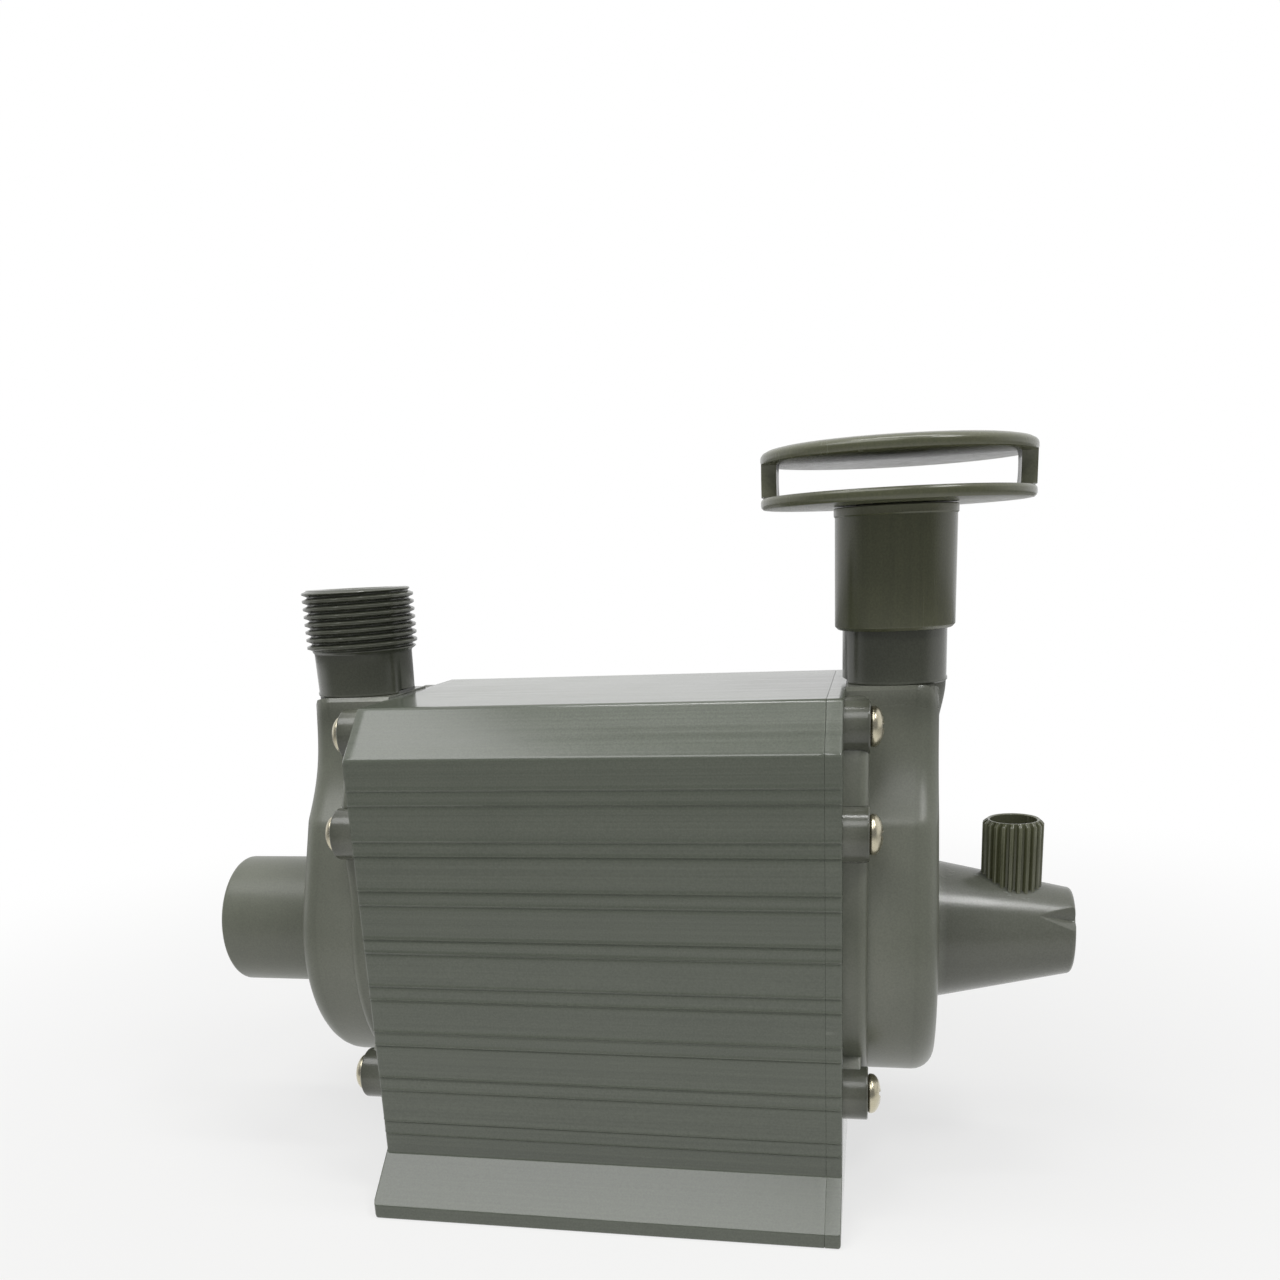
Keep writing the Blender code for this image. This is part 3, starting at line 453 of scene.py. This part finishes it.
# Rotor: a sintered ferrite magnet, a fixed ceramic shaft with washers and rubber bushes at its
# ends, and a moulded six-vane impeller pressed on each end of the magnet. The seal rings are
# rubber cord set in the volutes' flanges.
# Ground ferrite: dark grey with a dry metallic grit.
ferrite = inner_finish("sintered_ferrite", "#3d3d40", "#2b2b2e", 0.55, 0.0, (1, 1, 1), 0.00006, 2500.0)
# Ground alumina: white, hard and glossy.
ceramic = inner_finish("ground_alumina", "#ece8dd", "#dcd7ca", 0.18, 0.0, (1, 1, 1), 0.00001)
# Moulded nitrile rubber: matt black.
rubber = inner_finish("nitrile_rubber", "#262627", "#1b1b1c", 0.78, 0.0, (1, 1, 1), 0.00005, 1500.0)
# Glass-filled nylon: charcoal with faint pale fibres.
impeller_nylon = inner_finish("glass_filled_nylon", "#4a4c47", "#33352f", 0.42, 0.0, (1, 1, 1), 0.00004, 1800.0)
for nodes, look in ((("rotor_magnet",), ferrite),
                    (("rotor_shaft", "thrust_washer_water", "thrust_washer_air"), ceramic),
                    (("shaft_bush_water", "shaft_bush_air", "seal_ring_water", "seal_ring_air"), rubber),
                    (("water_impeller", "air_impeller"), impeller_nylon)):
    for node in nodes:
        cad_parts[node].material_slots[0].material = look


# Volutes: one moulded pump head at each end. A round flange with six screw bosses carries a
# teardrop body with a well-rounded outer edge, and an upright neck rises from its narrow end. The
# water side has an inlet pipe and a threaded neck, and the air side a hole for the nozzle.
FLANGE_FACE, FLANGE_OUT, FLANGE_RADIUS = 0.0533, 0.0584, 0.0366
BODY_OUT, BODY_RADIUS, BODY_EDGE = 0.0734, 0.0333, 0.005
BODY_TOP_RADIUS, BODY_RISE, BODY_TOP, BODY_WAIST = 0.0108, 0.061, 0.1158, 0.088
CHAMBER_RADIUS, CHAMBER_OUT = 0.027, 0.0704
PIPE_RADIUS, PIPE_BORE, PIPE_END = 0.0162, 0.0126, 0.1029
OUTLET_X, OUTLET_TOP, OUTLET_BORE = 0.0637, 0.1408, 0.0082
NECK_RADIUS, NECK_LINE, NECK_FOOT = 0.0115, 0.1162, 0.1035
THREAD_RADIUS, THREAD_ROOT, THREAD_PITCH, THREAD_TURNS = 0.01322, 0.01206, 0.001814, 8
NECK_END, NECK_BACK, NECK_LOWER_BORE = 0.098, 0.05345, 0.0085
BOSS_RADIUS = 0.0058
BOSS_FACE = FLANGE_OUT + 0.0003
FOOT_WEB_HALF, FOOT_WEB_LENGTH, FOOT_WEB_OUT = 0.0046, 0.012, 0.0572
WEB_TOP = 0.1140
SCREW_PLACES = ((0.0248, 0.1089), (0.0336, 0.0878), (0.0322, 0.0288))


def teardrop(turn, inset):
    """Distance from the rotor's axis to the outline round two circles, measured at an angle from
    straight up: the upper circle's far crossing, then the common tangent, then the lower circle,
    all cut level at the top. An inset is taken off both radii, and a third of it off the level top."""
    inset = np.asarray(inset)[..., None]
    low, high = BODY_RADIUS - inset, BODY_TOP_RADIUS - inset
    slope = math.acos((BODY_RADIUS - BODY_TOP_RADIUS) / BODY_RISE)
    away = np.abs((turn + np.pi) % (2 * np.pi) - np.pi)
    tangent = low / np.cos(np.clip(away - slope, -1.4, 1.4))
    over = np.maximum(high ** 2 - (BODY_RISE * np.sin(away)) ** 2, 0)
    upper = BODY_RISE * np.cos(away) + np.sqrt(over)
    touch = np.arctan2(high * math.sin(slope), BODY_RISE + high * math.cos(slope))
    level = (BODY_TOP - AXIS - 0.3 * inset) / np.maximum(np.cos(away), 0.3)
    return np.minimum(np.where(away > slope, low + 0 * away, np.where(away < touch, upper, tangent)), level)


def quarter(steps=8):
    """Sines and cosines of the steps of a quarter turn."""
    turn = np.linspace(0, np.pi / 2, steps)
    return np.sin(turn), np.cos(turn)


def volute_body(side, pipe):
    """The teardrop body as one closed ring of rows round the rotor's axis: out along the chamber,
    in to the bore, out along the pipe when there is one, back over its rounded lip, across the
    outer face, round the outer edge and along the wall to the flange. Below the neck its flanks
    are drawn in by a fifth of a half sine wave, so they run up into the neck in a hollow curve."""
    turn = np.linspace(0, 2 * np.pi, 288, endpoint=False)
    sine, cosine = quarter()
    bore = [(FLANGE_FACE, CHAMBER_RADIUS), (CHAMBER_OUT - 0.0015, CHAMBER_RADIUS)]
    bore += list(zip(CHAMBER_OUT - 0.0015 * (1 - sine), CHAMBER_RADIUS - 0.0015 * (1 - cosine)))
    bore += [(CHAMBER_OUT, PIPE_BORE + 0.0004), (CHAMBER_OUT + 0.0004, PIPE_BORE)]
    if pipe:
        lip = 0.0009
        bore += [(BODY_OUT, PIPE_BORE), (PIPE_END - 0.02, PIPE_BORE), (PIPE_END - lip, PIPE_BORE)]
        bore += list(zip(PIPE_END - lip * (1 - sine), PIPE_BORE + lip * (1 - cosine)))
        bore += list(zip(PIPE_END - lip * (1 - cosine), PIPE_RADIUS - lip * (1 - sine)))
        bore += [(PIPE_END - lip - 0.0004, PIPE_RADIUS), (PIPE_END - 0.02, PIPE_RADIUS)]
        bore += [(BODY_OUT + 0.0014, PIPE_RADIUS)]
        bore += list(zip(BODY_OUT + 0.001 * (1 - sine), PIPE_RADIUS + 0.001 * (1 - cosine)))
        bore += [(BODY_OUT, PIPE_RADIUS + 0.0014)]
    else:
        bore += [(BODY_OUT - 0.0003, PIPE_BORE), (BODY_OUT, PIPE_BORE + 0.0003)]
        bore += [(BODY_OUT, PIPE_RADIUS + 0.0014)]
    along, radius = np.array(bore).T
    inner = np.broadcast_to(radius[:, None], (len(radius), len(turn)))
    outer_along = np.concatenate((np.full(3, BODY_OUT), BODY_OUT - BODY_EDGE * (1 - cosine),
                                  [BODY_OUT - BODY_EDGE - 0.0004, FLANGE_FACE]))
    inset = np.concatenate(([0.0095, 0.0070, BODY_EDGE + 0.0004], BODY_EDGE * (1 - sine), [0.0, 0.0]))
    reach = np.concatenate((inner, teardrop(turn, inset)))
    along = np.concatenate((along, outer_along))[:, None] + 0 * turn
    height = AXIS + reach * np.cos(turn)
    drawn = 1 - 0.2 * np.sin(np.pi * np.clip((height - BODY_WAIST) / (BODY_TOP - BODY_WAIST), 0, 1))
    return skin(np.stack((side * along, reach * np.sin(turn) * drawn, height), -1))


def drawn_in(outline, depth):
    """A closed outline moved inwards: each point goes along the normal between its neighbours."""
    ahead = np.roll(outline, -1, 0) - np.roll(outline, 1, 0)
    ahead = ahead / np.linalg.norm(ahead, axis=1)[:, None]
    return outline + np.stack((-ahead[:, 1], ahead[:, 0]), -1) * depth


def slab(outline, low, high, edge, side):
    """A flat plate from low to high along X with its outer edge rounded: at the last steps the
    outline is drawn in along a quarter circle. The outline runs anticlockwise."""
    sine, cosine = quarter(6)
    steps = [(low, 0.0), (high - edge - 0.0002, 0.0)]
    steps += list(zip(high - edge * (1 - sine), edge * (1 - cosine)))
    rows = [np.column_stack((np.full(len(outline), side * along), drawn_in(outline, inset)))
            for along, inset in steps]
    return skin(np.stack(rows), "capped")


def flange_plate(side):
    """The flange's outline: a circle up to the middle bosses, then a web that narrows to the top ones."""
    turn = np.radians(np.linspace(-90, 18, 60))
    half = np.column_stack((FLANGE_RADIUS * np.cos(turn), AXIS + FLANGE_RADIUS * np.sin(turn)))
    half[0, 0] = 0.0002
    web = np.array([(0.0344, 0.0731), (0.0345, 0.0780), (0.0347, 0.0830), (0.0345, 0.0880), (0.0335, 0.0940),
                    (0.0300, 0.1020), (0.0268, 0.1092), (0.0240, 0.1128), (0.0200, WEB_TOP)])
    half = np.vstack((half, web, (0.0100, WEB_TOP)))
    return slab(np.vstack((half, half[::-1] * (-1, 1))), FLANGE_FACE, FLANGE_OUT, 0.0020, side)


def pillar(side, across, up, radius, low, high, edge):
    """A short round bar along X with a rounded free end."""
    turn = np.linspace(0, 2 * np.pi, 40, endpoint=False)
    outline = np.column_stack((across + radius * np.cos(turn), up + radius * np.sin(turn)))
    return slab(outline, low, high, edge, side)


def foot_web(side, hand):
    """The rib from the round flange out to a bottom boss: a bar along the line from the axis."""
    across, up = SCREW_PLACES[2]
    away = np.array((hand * across, up - AXIS))
    away = away / np.linalg.norm(away)
    beside = np.array((-away[1], away[0])) * FOOT_WEB_HALF
    tip = np.array((hand * across, up))
    root = tip - away * FOOT_WEB_LENGTH
    outline = np.stack((root - beside, tip - beside, tip + beside, root + beside))
    return slab(outline, FLANGE_FACE, FOOT_WEB_OUT, 0.0006, side)


def neck(side, outside):
    """The upright outlet as a closed ring of rows: up the bore, over the rounded rim and down the
    outside. Below the parting line it narrows by a smooth step, and it is flat towards the block."""
    turn = np.linspace(0, 2 * np.pi, 144, endpoint=False)
    inside = [(NECK_LOWER_BORE, NECK_END), (NECK_LOWER_BORE, 0.1255), (OUTLET_BORE, 0.126),
              (OUTLET_BORE, OUTLET_TOP - 0.0006),
              (OUTLET_BORE + 0.0002, OUTLET_TOP - 0.0002), (OUTLET_BORE + 0.0006, OUTLET_TOP)]
    below = [(NECK_RADIUS, NECK_LINE + 0.0006), (NECK_RADIUS + 0.0002, NECK_LINE + 0.0002),
             (NECK_RADIUS + 0.0002, NECK_LINE - 0.0002), (NECK_RADIUS - 0.0001, NECK_LINE - 0.0006)]
    part = np.linspace(0.08, 1, 10)
    ease = part * part * (3 - 2 * part)
    below += list(zip(NECK_RADIUS - 0.0001 - 0.0019 * ease,
                      NECK_LINE - 0.0006 - (NECK_LINE - NECK_FOOT) * part))
    below += [(0.0095, NECK_END)]
    radius, height = np.array(inside).T
    inner = radius[:, None] + 0 * turn
    radius, low_height = np.array(below).T
    lower = radius[:, None] + 0 * turn
    shape, shape_height = outside(turn)
    reach = np.concatenate((inner, shape, lower))
    height = np.concatenate((height, shape_height, low_height))[:, None] + 0 * turn
    x = OUTLET_X + reach * np.cos(turn)
    x = np.where((height < NECK_LINE + 0.0004) & (height > NECK_END + 0.0001), np.maximum(x, NECK_BACK), x)
    return skin(np.stack((side * x, reach * np.sin(turn), height), -1))


def threaded(turn):
    """Radius over angle and height of a helical thread: the distance down from the rim, less the
    share of a turn, is read off a trapezoid wave between root and crest, and it fades in and out."""
    height = np.arange(OUTLET_TOP, OUTLET_TOP - (THREAD_TURNS + 0.4) * THREAD_PITCH, -THREAD_PITCH / 14)
    down = (OUTLET_TOP - height[:, None]) / THREAD_PITCH
    phase = (down - turn / (2 * np.pi)) % 1.0
    wave = np.clip(1.55 - 3.6 * np.abs(phase - 0.5), 0, 1)
    fade = np.clip(down / 0.35, 0, 1) * np.clip((THREAD_TURNS + 0.1 - down) / 0.5, 0, 1)
    root = THREAD_ROOT - 0.0004 * np.clip((down - THREAD_TURNS) / 0.3, 0, 1)
    return root + (THREAD_RADIUS - THREAD_ROOT) * wave * fade, height


def plain(turn):
    """The plain neck that the diffuser's socket fits over, with a rounded rim."""
    sine, cosine = quarter(5)
    height = np.concatenate((OUTLET_TOP - 0.0008 * (1 - cosine), [OUTLET_TOP - 0.0012, 0.128]))
    radius = np.concatenate((NECK_RADIUS - 0.0008 * (1 - sine), [NECK_RADIUS, NECK_RADIUS]))
    return radius[:, None] + 0 * turn, height


def bored(shell, side):
    """The body less the outlet's bore: a Boolean with an upright bar from the chamber to the top."""
    cutters = np.linspace(0, 2 * np.pi, 64, endpoint=False)
    round_bar = (side * OUTLET_X + OUTLET_BORE * np.cos(cutters), OUTLET_BORE * np.sin(cutters))
    bar = np.stack([np.column_stack((*round_bar, np.full(64, height))) for height in (AXIS + 0.016, 0.15)])
    solid, cutter = show("body", joined([shell])), show("bar", joined([skin(bar, "capped")]))
    boolean = solid.modifiers.new("bore", "BOOLEAN")
    boolean.operation = "DIFFERENCE"
    boolean.solver = "EXACT"
    boolean.object = cutter
    mesh = bpy.data.meshes.new_from_object(solid.evaluated_get(bpy.context.evaluated_depsgraph_get()))
    points = np.zeros(len(mesh.vertices) * 3)
    mesh.vertices.foreach_get("co", points)
    faces = [list(face.vertices) for face in mesh.polygons]
    bpy.data.objects.remove(solid)
    bpy.data.objects.remove(cutter)
    return points.reshape(-1, 3), faces


# Grey-green ABS moulded in a spark-eroded tool: satin, with a fine even grain and faint flow.
# Above the parting line and on the screw sleeves: a darker tone that is painted shade, a smoother real polish,
# and paler crests that are a painted highlight.
moulded_abs = moulded("moulded_grey_abs", "#717467", "#65685c", "#94968a", 0.34, (60.0, 60.0, 25.0), 0.45,
                      polished=(NECK_LINE, "#484a3f", 0.20, SCREW_PLACES, BOSS_RADIUS + 0.0002))
for side, name, outside in ((-1, "water", threaded), (1, "air", plain)):
    shells = [bored(volute_body(side, name == "water"), side), flange_plate(side), neck(side, outside)]
    for hand in (-1, 1):
        shells += [pillar(side, hand * across, up, BOSS_RADIUS, FLANGE_FACE, BOSS_FACE, 0.0004)
                   for across, up in SCREW_PLACES]
        shells.append(foot_web(side, hand))
    head = show(f"{name}_pump_head", joined(shells), 34.0)
    fit_on(head, moulded_abs, "block", "volute_plastic", f"{name}_volute")


# Nozzle: a tapered moulded cone pushed into the air volute, with a narrow throat that draws air
# in from the ribbed stub on top, a rounded lip, and a V notch in two sides of its tip.
NOZZLE_BASE, NOZZLE_TIP, NOZZLE_END, NOZZLE_LIP = 0.0162, 0.0101, 0.1045, 0.0012
NOZZLE_MOUTH, NOZZLE_THROAT, SPIGOT_RADIUS = 0.0078, 0.0052, 0.0123
NOTCH_TURN, NOTCH_LENGTH, NOTCH_HALF, NOTCH_DEPTH = math.radians(57), 0.0081, 0.0031, 0.0023
STUB_X, STUB_TOP, STUB_RADIUS, STUB_BORE, STUB_RIBS = 0.0909, 0.0836, 0.0068, 0.0052, 22
NOZZLE_FACE = BODY_OUT + 0.0003


def cone_radius(along):
    """Outer radius of the nozzle at a distance along the rotor's axis."""
    part = (along - NOZZLE_FACE) / (NOZZLE_END - NOZZLE_LIP - NOZZLE_FACE)
    return NOZZLE_BASE - (NOZZLE_BASE - NOZZLE_TIP) * part


def nozzle_skin():
    """The cone as a closed ring of rows. Each notch is a V trough: its floor sinks evenly from the
    cone's surface at the notch's root to its depth at the tip, its sides rise evenly with the
    distance round the tip, and the surface is whichever of cone and trough is nearer the axis."""
    turn = np.linspace(0, 2 * np.pi, 480, endpoint=False)
    sine, cosine = quarter(7)
    along = np.concatenate((np.linspace(NOZZLE_FACE + 0.0004, 0.0940, 12),
                            np.linspace(0.0946, NOZZLE_END - NOZZLE_LIP, 30),
                            NOZZLE_END - NOZZLE_LIP * (1 - sine[1:])))[:, None]
    cone = cone_radius(np.minimum(along, NOZZLE_END - NOZZLE_LIP)) + 0 * turn
    cone[-6:] -= NOZZLE_LIP * (1 - cosine[1:])[:, None]
    gap = np.abs((turn + NOTCH_TURN + np.pi / 2) % np.pi - np.pi / 2) * NOZZLE_TIP
    sunk = NOTCH_DEPTH * (along - NOZZLE_END + NOTCH_LENGTH) / NOTCH_LENGTH
    trough = cone_radius(along) - sunk + gap * NOTCH_DEPTH / NOTCH_HALF
    outer = np.minimum(cone, np.maximum(trough, NOZZLE_MOUTH + 0.0002))
    inside = np.array([(NOZZLE_END, NOZZLE_MOUTH + 0.0001), (NOZZLE_END - 0.0003, NOZZLE_MOUTH - 0.0001),
                       (NOZZLE_END - 0.004, NOZZLE_MOUTH - 0.0010), (STUB_X + 0.003, NOZZLE_THROAT),
                       (STUB_X - 0.006, NOZZLE_THROAT), (NOZZLE_FACE - 0.002, 0.0106),
                       (NOZZLE_FACE - 0.002, SPIGOT_RADIUS - 0.0002), (NOZZLE_FACE - 0.0018, SPIGOT_RADIUS),
                       (NOZZLE_FACE, SPIGOT_RADIUS), (NOZZLE_FACE, NOZZLE_BASE - 0.0004)])
    reach = np.concatenate((outer, inside[:, 1:] + 0 * turn))
    rows = np.concatenate((along, inside[:, :1])) + 0 * turn
    return skin(np.stack((rows, reach * np.sin(turn), AXIS + reach * np.cos(turn)), -1))


nozzle = show("tapered_nozzle", joined([nozzle_skin()]), 30.0)
# The same ABS from a polished tool: it shows a clearer highlight along the cone.
nozzle_abs = moulded("polished_grey_abs", "#6a6c62", "#5e6056", "#a3a59a", 0.24, (18.0, 260.0, 260.0), 0.35,
                     bump_share=0.2)
fit_on(nozzle, nozzle_abs, "block", "volute_plastic", "venturi_nozzle")


def stub_skin():
    """The ribbed air stub as a closed ring of rows round its own axis. Its foot follows the cone:
    height = axis + root(cone radius squared - y squared). The radius rises at each rib by the
    clipped cosine of the ribs' count times the angle."""
    turn = np.linspace(0, 2 * np.pi, STUB_RIBS * 14, endpoint=False)
    rib = np.clip(0.55 + 1.1 * np.cos(STUB_RIBS * turn), 0, 1)
    part = np.array((0.0, 0.03, 0.5, 0.93, 0.965, 0.985, 1.0))
    fade = np.array((1.0, 1.0, 1.0, 1.0, 0.6, 0.2, 0.0))
    outer = STUB_RADIUS - 0.00085 + 0.00085 * rib * fade[:, None] - 0.0002 * (1 - fade[:, None])
    inner = STUB_BORE + np.array((0.0003, 0.0, 0.0, 0.0))[:, None] + 0 * turn
    reach = np.concatenate((outer, inner))
    part = np.concatenate((part, (1.0, 0.985, 0.5, 0.0)))[:, None]
    x, y = STUB_X + reach * np.cos(turn), reach * np.sin(turn)
    foot = AXIS + np.sqrt(np.maximum(cone_radius(x) ** 2 - y ** 2, 0)) + 0.0001
    return skin(np.stack((x, y, foot + (STUB_TOP - foot) * part), -1))


stub = show("ribbed_air_stub", joined([stub_skin()]), 40.0)
# Dark olive PVC pipe fitting: smooth moulding with soft up-and-down streaks.
# Its paler edge colour is partly a painted highlight, on the socket's lip and the stub's ribs.
dark_pvc = moulded("dark_olive_pvc", "#57593f", "#4a4c37", "#8f907d", 0.24, (420.0, 420.0, 12.0), 0.6,
                   bump_share=0.2)
fit_on(stub, dark_pvc, "block", "dark_plastic", "air_intake_stub")


# Diffuser: a plain dark socket pushed over the air side's neck, a flat round dish on top of it
# and a cap held above the dish by a post at each side, so bubbles leave all round through the gap.
SOCKET_RADIUS, SOCKET_BORE, SOCKET_STEP, SOCKET_THROAT = 0.01345, 0.0118, 0.1411, 0.0090
HEAD_RADIUS, POST_DEPTH, POST_HALF = 0.0293, 0.0034, 0.0045
DISH_BOTTOM, DISH_BORE, DISH_SPIGOT, CAP_BOTTOM = 0.1538, 0.0072, 0.0087, 0.1632
socket_low, socket_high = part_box("diffuser_socket")
dish_low, dish_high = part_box("diffuser_dish")
cap_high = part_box("diffuser_cap")[1]
OUTLET = np.array((OUTLET_X, 0.0, 0.0))


def turned(profile):
    """A closed (radius, height) outline turned about the diffuser's upright axis."""
    turn = np.linspace(0, 2 * np.pi, 160, endpoint=False)
    radius, height = (np.array(profile)[:, part, None] + 0 * turn for part in (0, 1))
    return OUTLET + np.stack((radius * np.cos(turn), radius * np.sin(turn), height), -1)


bottom, top = socket_low.z, socket_high.z
wide, slim = SOCKET_RADIUS, SOCKET_RADIUS - 0.00025
sleeve = [(wide - 0.0002, top), (wide, top - 0.0002), (wide, top - 0.0017), (slim, top - 0.0020),
          (slim, top - 0.0024), (slim, bottom + 0.0010), (wide - 0.0003, bottom + 0.0007),
          (wide - 0.0009, bottom + 0.0001), (wide - 0.0011, bottom), (SOCKET_BORE + 0.0002, bottom),
          (SOCKET_BORE, bottom + 0.0002), (SOCKET_BORE, SOCKET_STEP), (SOCKET_THROAT, SOCKET_STEP + 0.0010),
          (SOCKET_THROAT, top)]
socket = show("diffuser_sleeve", joined([skin(turned(sleeve))]), 34.0)
fit_on(socket, dark_pvc, "diffuser", "dark_plastic", "diffuser_socket")

low, high, rim = DISH_BOTTOM, dish_high.z, HEAD_RADIUS
plate = [(DISH_BORE, high), (rim - 0.0012, high), (rim - 0.0005, high - 0.0001), (rim - 0.0001, high - 0.0005),
         (rim, high - 0.0009), (rim, low + 0.0009), (rim - 0.0001, low + 0.0005), (rim - 0.0005, low + 0.0001),
         (rim - 0.0012, low), (DISH_SPIGOT, low), (DISH_SPIGOT, dish_low.z), (DISH_BORE, dish_low.z)]
dish = show("diffuser_lower_plate", joined([skin(turned(plate))]), 34.0)
fit_on(dish, dark_pvc, "diffuser", "dark_plastic", "diffuser_dish")

low, high = CAP_BOTTOM, cap_high.z
lid = [(0.0, high), (rim - 0.0048, high), (rim - 0.0030, high - 0.0001), (rim - 0.0015, high - 0.0004),
       (rim - 0.0005, high - 0.0009), (rim - 0.0001, high - 0.0014), (rim, high - 0.0018), (rim, low + 0.0006),
       (rim - 0.0002, low + 0.0002), (rim - 0.0006, low), (0.0, low)]


def post(hand):
    """A post as a closed grid: its section is a thin arc of the head's rim, drawn in slightly at
    half its height, carried up from the dish to inside the cap."""
    span = math.asin(POST_HALF / HEAD_RADIUS)
    sweep = np.linspace(-span, span, 14)
    radius = np.concatenate((np.full(14, HEAD_RADIUS - 0.0001), np.full(14, HEAD_RADIUS - POST_DEPTH)))
    sweep = np.concatenate((sweep, sweep[::-1]))
    height = np.linspace(dish_high.z + 0.0002, CAP_BOTTOM + 0.0008, 9)[:, None]
    waist = 1 - 0.16 * np.sin(np.pi * (height - height[0]) / (height[-1] - height[0]))
    return skin(np.stack((OUTLET_X + hand * radius * np.cos(sweep * waist), radius * np.sin(sweep * waist),
                          height + 0 * sweep), -1), "capped")


cap = show("diffuser_upper_plate", joined([skin(turned(lid), "capped"), post(-1), post(1)]), 34.0)
fit_on(cap, dark_pvc, "diffuser", "dark_plastic", "diffuser_cap")


# Screws: domed cross-head screws of stainless steel, six through the bosses at each end. They
# hold the heads, and on the air side the cover too, to the housing.
HEAD_HALF, HEAD_RISE, SHANK, SCREW_LENGTH = 0.0043, 0.0028, 0.0020, 0.0144


def screw_skin(side, across, up, spin):
    """A screw along X as a closed ring of rows. The head is a dome, rise times the root of one less
    the squared share of the radius, and inside it a cross is sunk: a smooth step of the distance
    from the nearer arm's middle line, times one of the distance from the arms' ends."""
    turn = np.linspace(0, 2 * np.pi, 96, endpoint=False)
    share = np.concatenate((np.linspace(0, 0.56, 26), np.linspace(0.60, 1.0, 14)))[:, None]
    radius = HEAD_HALF * np.sin(share * np.pi / 2)
    dome = 0.0007 + (HEAD_RISE - 0.0007) * np.cos(share * np.pi / 2)
    one, two = np.abs(radius * np.cos(turn + spin)), np.abs(radius * np.sin(turn + spin))
    arm = np.clip((0.00062 - np.minimum(one, two)) / 0.00030, 0, 1)
    end = np.clip((0.00235 - np.maximum(one, two)) / 0.0005, 0, 1)
    rise = dome - 0.0013 * arm * end
    below = np.array([(HEAD_HALF, 0.0003), (HEAD_HALF - 0.0003, 0.0), (SHANK, 0.0),
                      (SHANK, 0.001 - SCREW_LENGTH), (0.0, -SCREW_LENGTH)])
    radius = np.concatenate((radius + 0 * turn, below[:, :1] + 0 * turn))
    rise = np.concatenate((rise, below[:, 1:] + 0 * turn))
    points = (side * (BOSS_FACE + rise), across + radius * np.cos(turn), up + radius * np.sin(turn))
    return skin(np.stack(points, -1), "capped")


# Passivated stainless steel: warm bright metal with fine scuffs, and a painted shade that darkens its cross
# recesses and other hollows.
stainless, tree, shader, place = new_finish("passivated_stainless_steel", 1.0)
scuff = add(tree, "ShaderNodeTexNoise", values={"Scale": 1500.0, "Detail": 4.0}, links={"Vector": place})
stain = add(tree, "ShaderNodeTexNoise", values={"Scale": 260.0, "Detail": 3.0}, links={"Vector": place})
shape = add(tree, "ShaderNodeNewGeometry")
# Painted shade: hollows found by pointiness, the cross recesses and under the head, are darkened to a dim
# brown-grey.
painted_recess_shade_mask = add(tree, "ShaderNodeMapRange", values={"From Min": 0.40, "From Max": 0.49},
             links={"Value": shape.outputs["Pointiness"]})
bright = add(tree, "ShaderNodeMix", {"data_type": "RGBA"}, {6: linear("#aaa38c"), 7: linear("#d0cab4")},
             {0: stain.outputs[0]})
steel_with_painted_recess_shade = add(tree, "ShaderNodeMix", {"data_type": "RGBA"}, {6: linear("#5d584a")},
            {0: painted_recess_shade_mask.outputs[0], 7: bright.outputs[2]})
tree.links.new(steel_with_painted_recess_shade.outputs[2], shader.inputs["Base Color"])
gloss = add(tree, "ShaderNodeMapRange", values={"To Min": 0.20, "To Max": 0.36},
            links={"Value": scuff.outputs[0]})
tree.links.new(gloss.outputs[0], shader.inputs["Roughness"])
bump = add(tree, "ShaderNodeBump", values={"Strength": 0.25, "Distance": 0.00003},
           links={"Height": scuff.outputs[0]})
tree.links.new(bump.outputs[0], shader.inputs["Normal"])
for side, end in ((-1, "water"), (1, "air")):
    for level, (across, up) in enumerate(SCREW_PLACES, start=1):
        for hand, row in ((-1, "front"), (1, "rear")):
            spin = 0.5 + 1.7 * level + 0.9 * hand + 0.6 * side
            turned_screw = joined([screw_skin(side, hand * across, up, spin)])
            screw = show(f"domed_screw_{end}_{row}_{level}", turned_screw, 50.0)
            fit_on(screw, stainless, "block", "stainless", f"screw_{end}_{row}_{level}")

low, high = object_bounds()
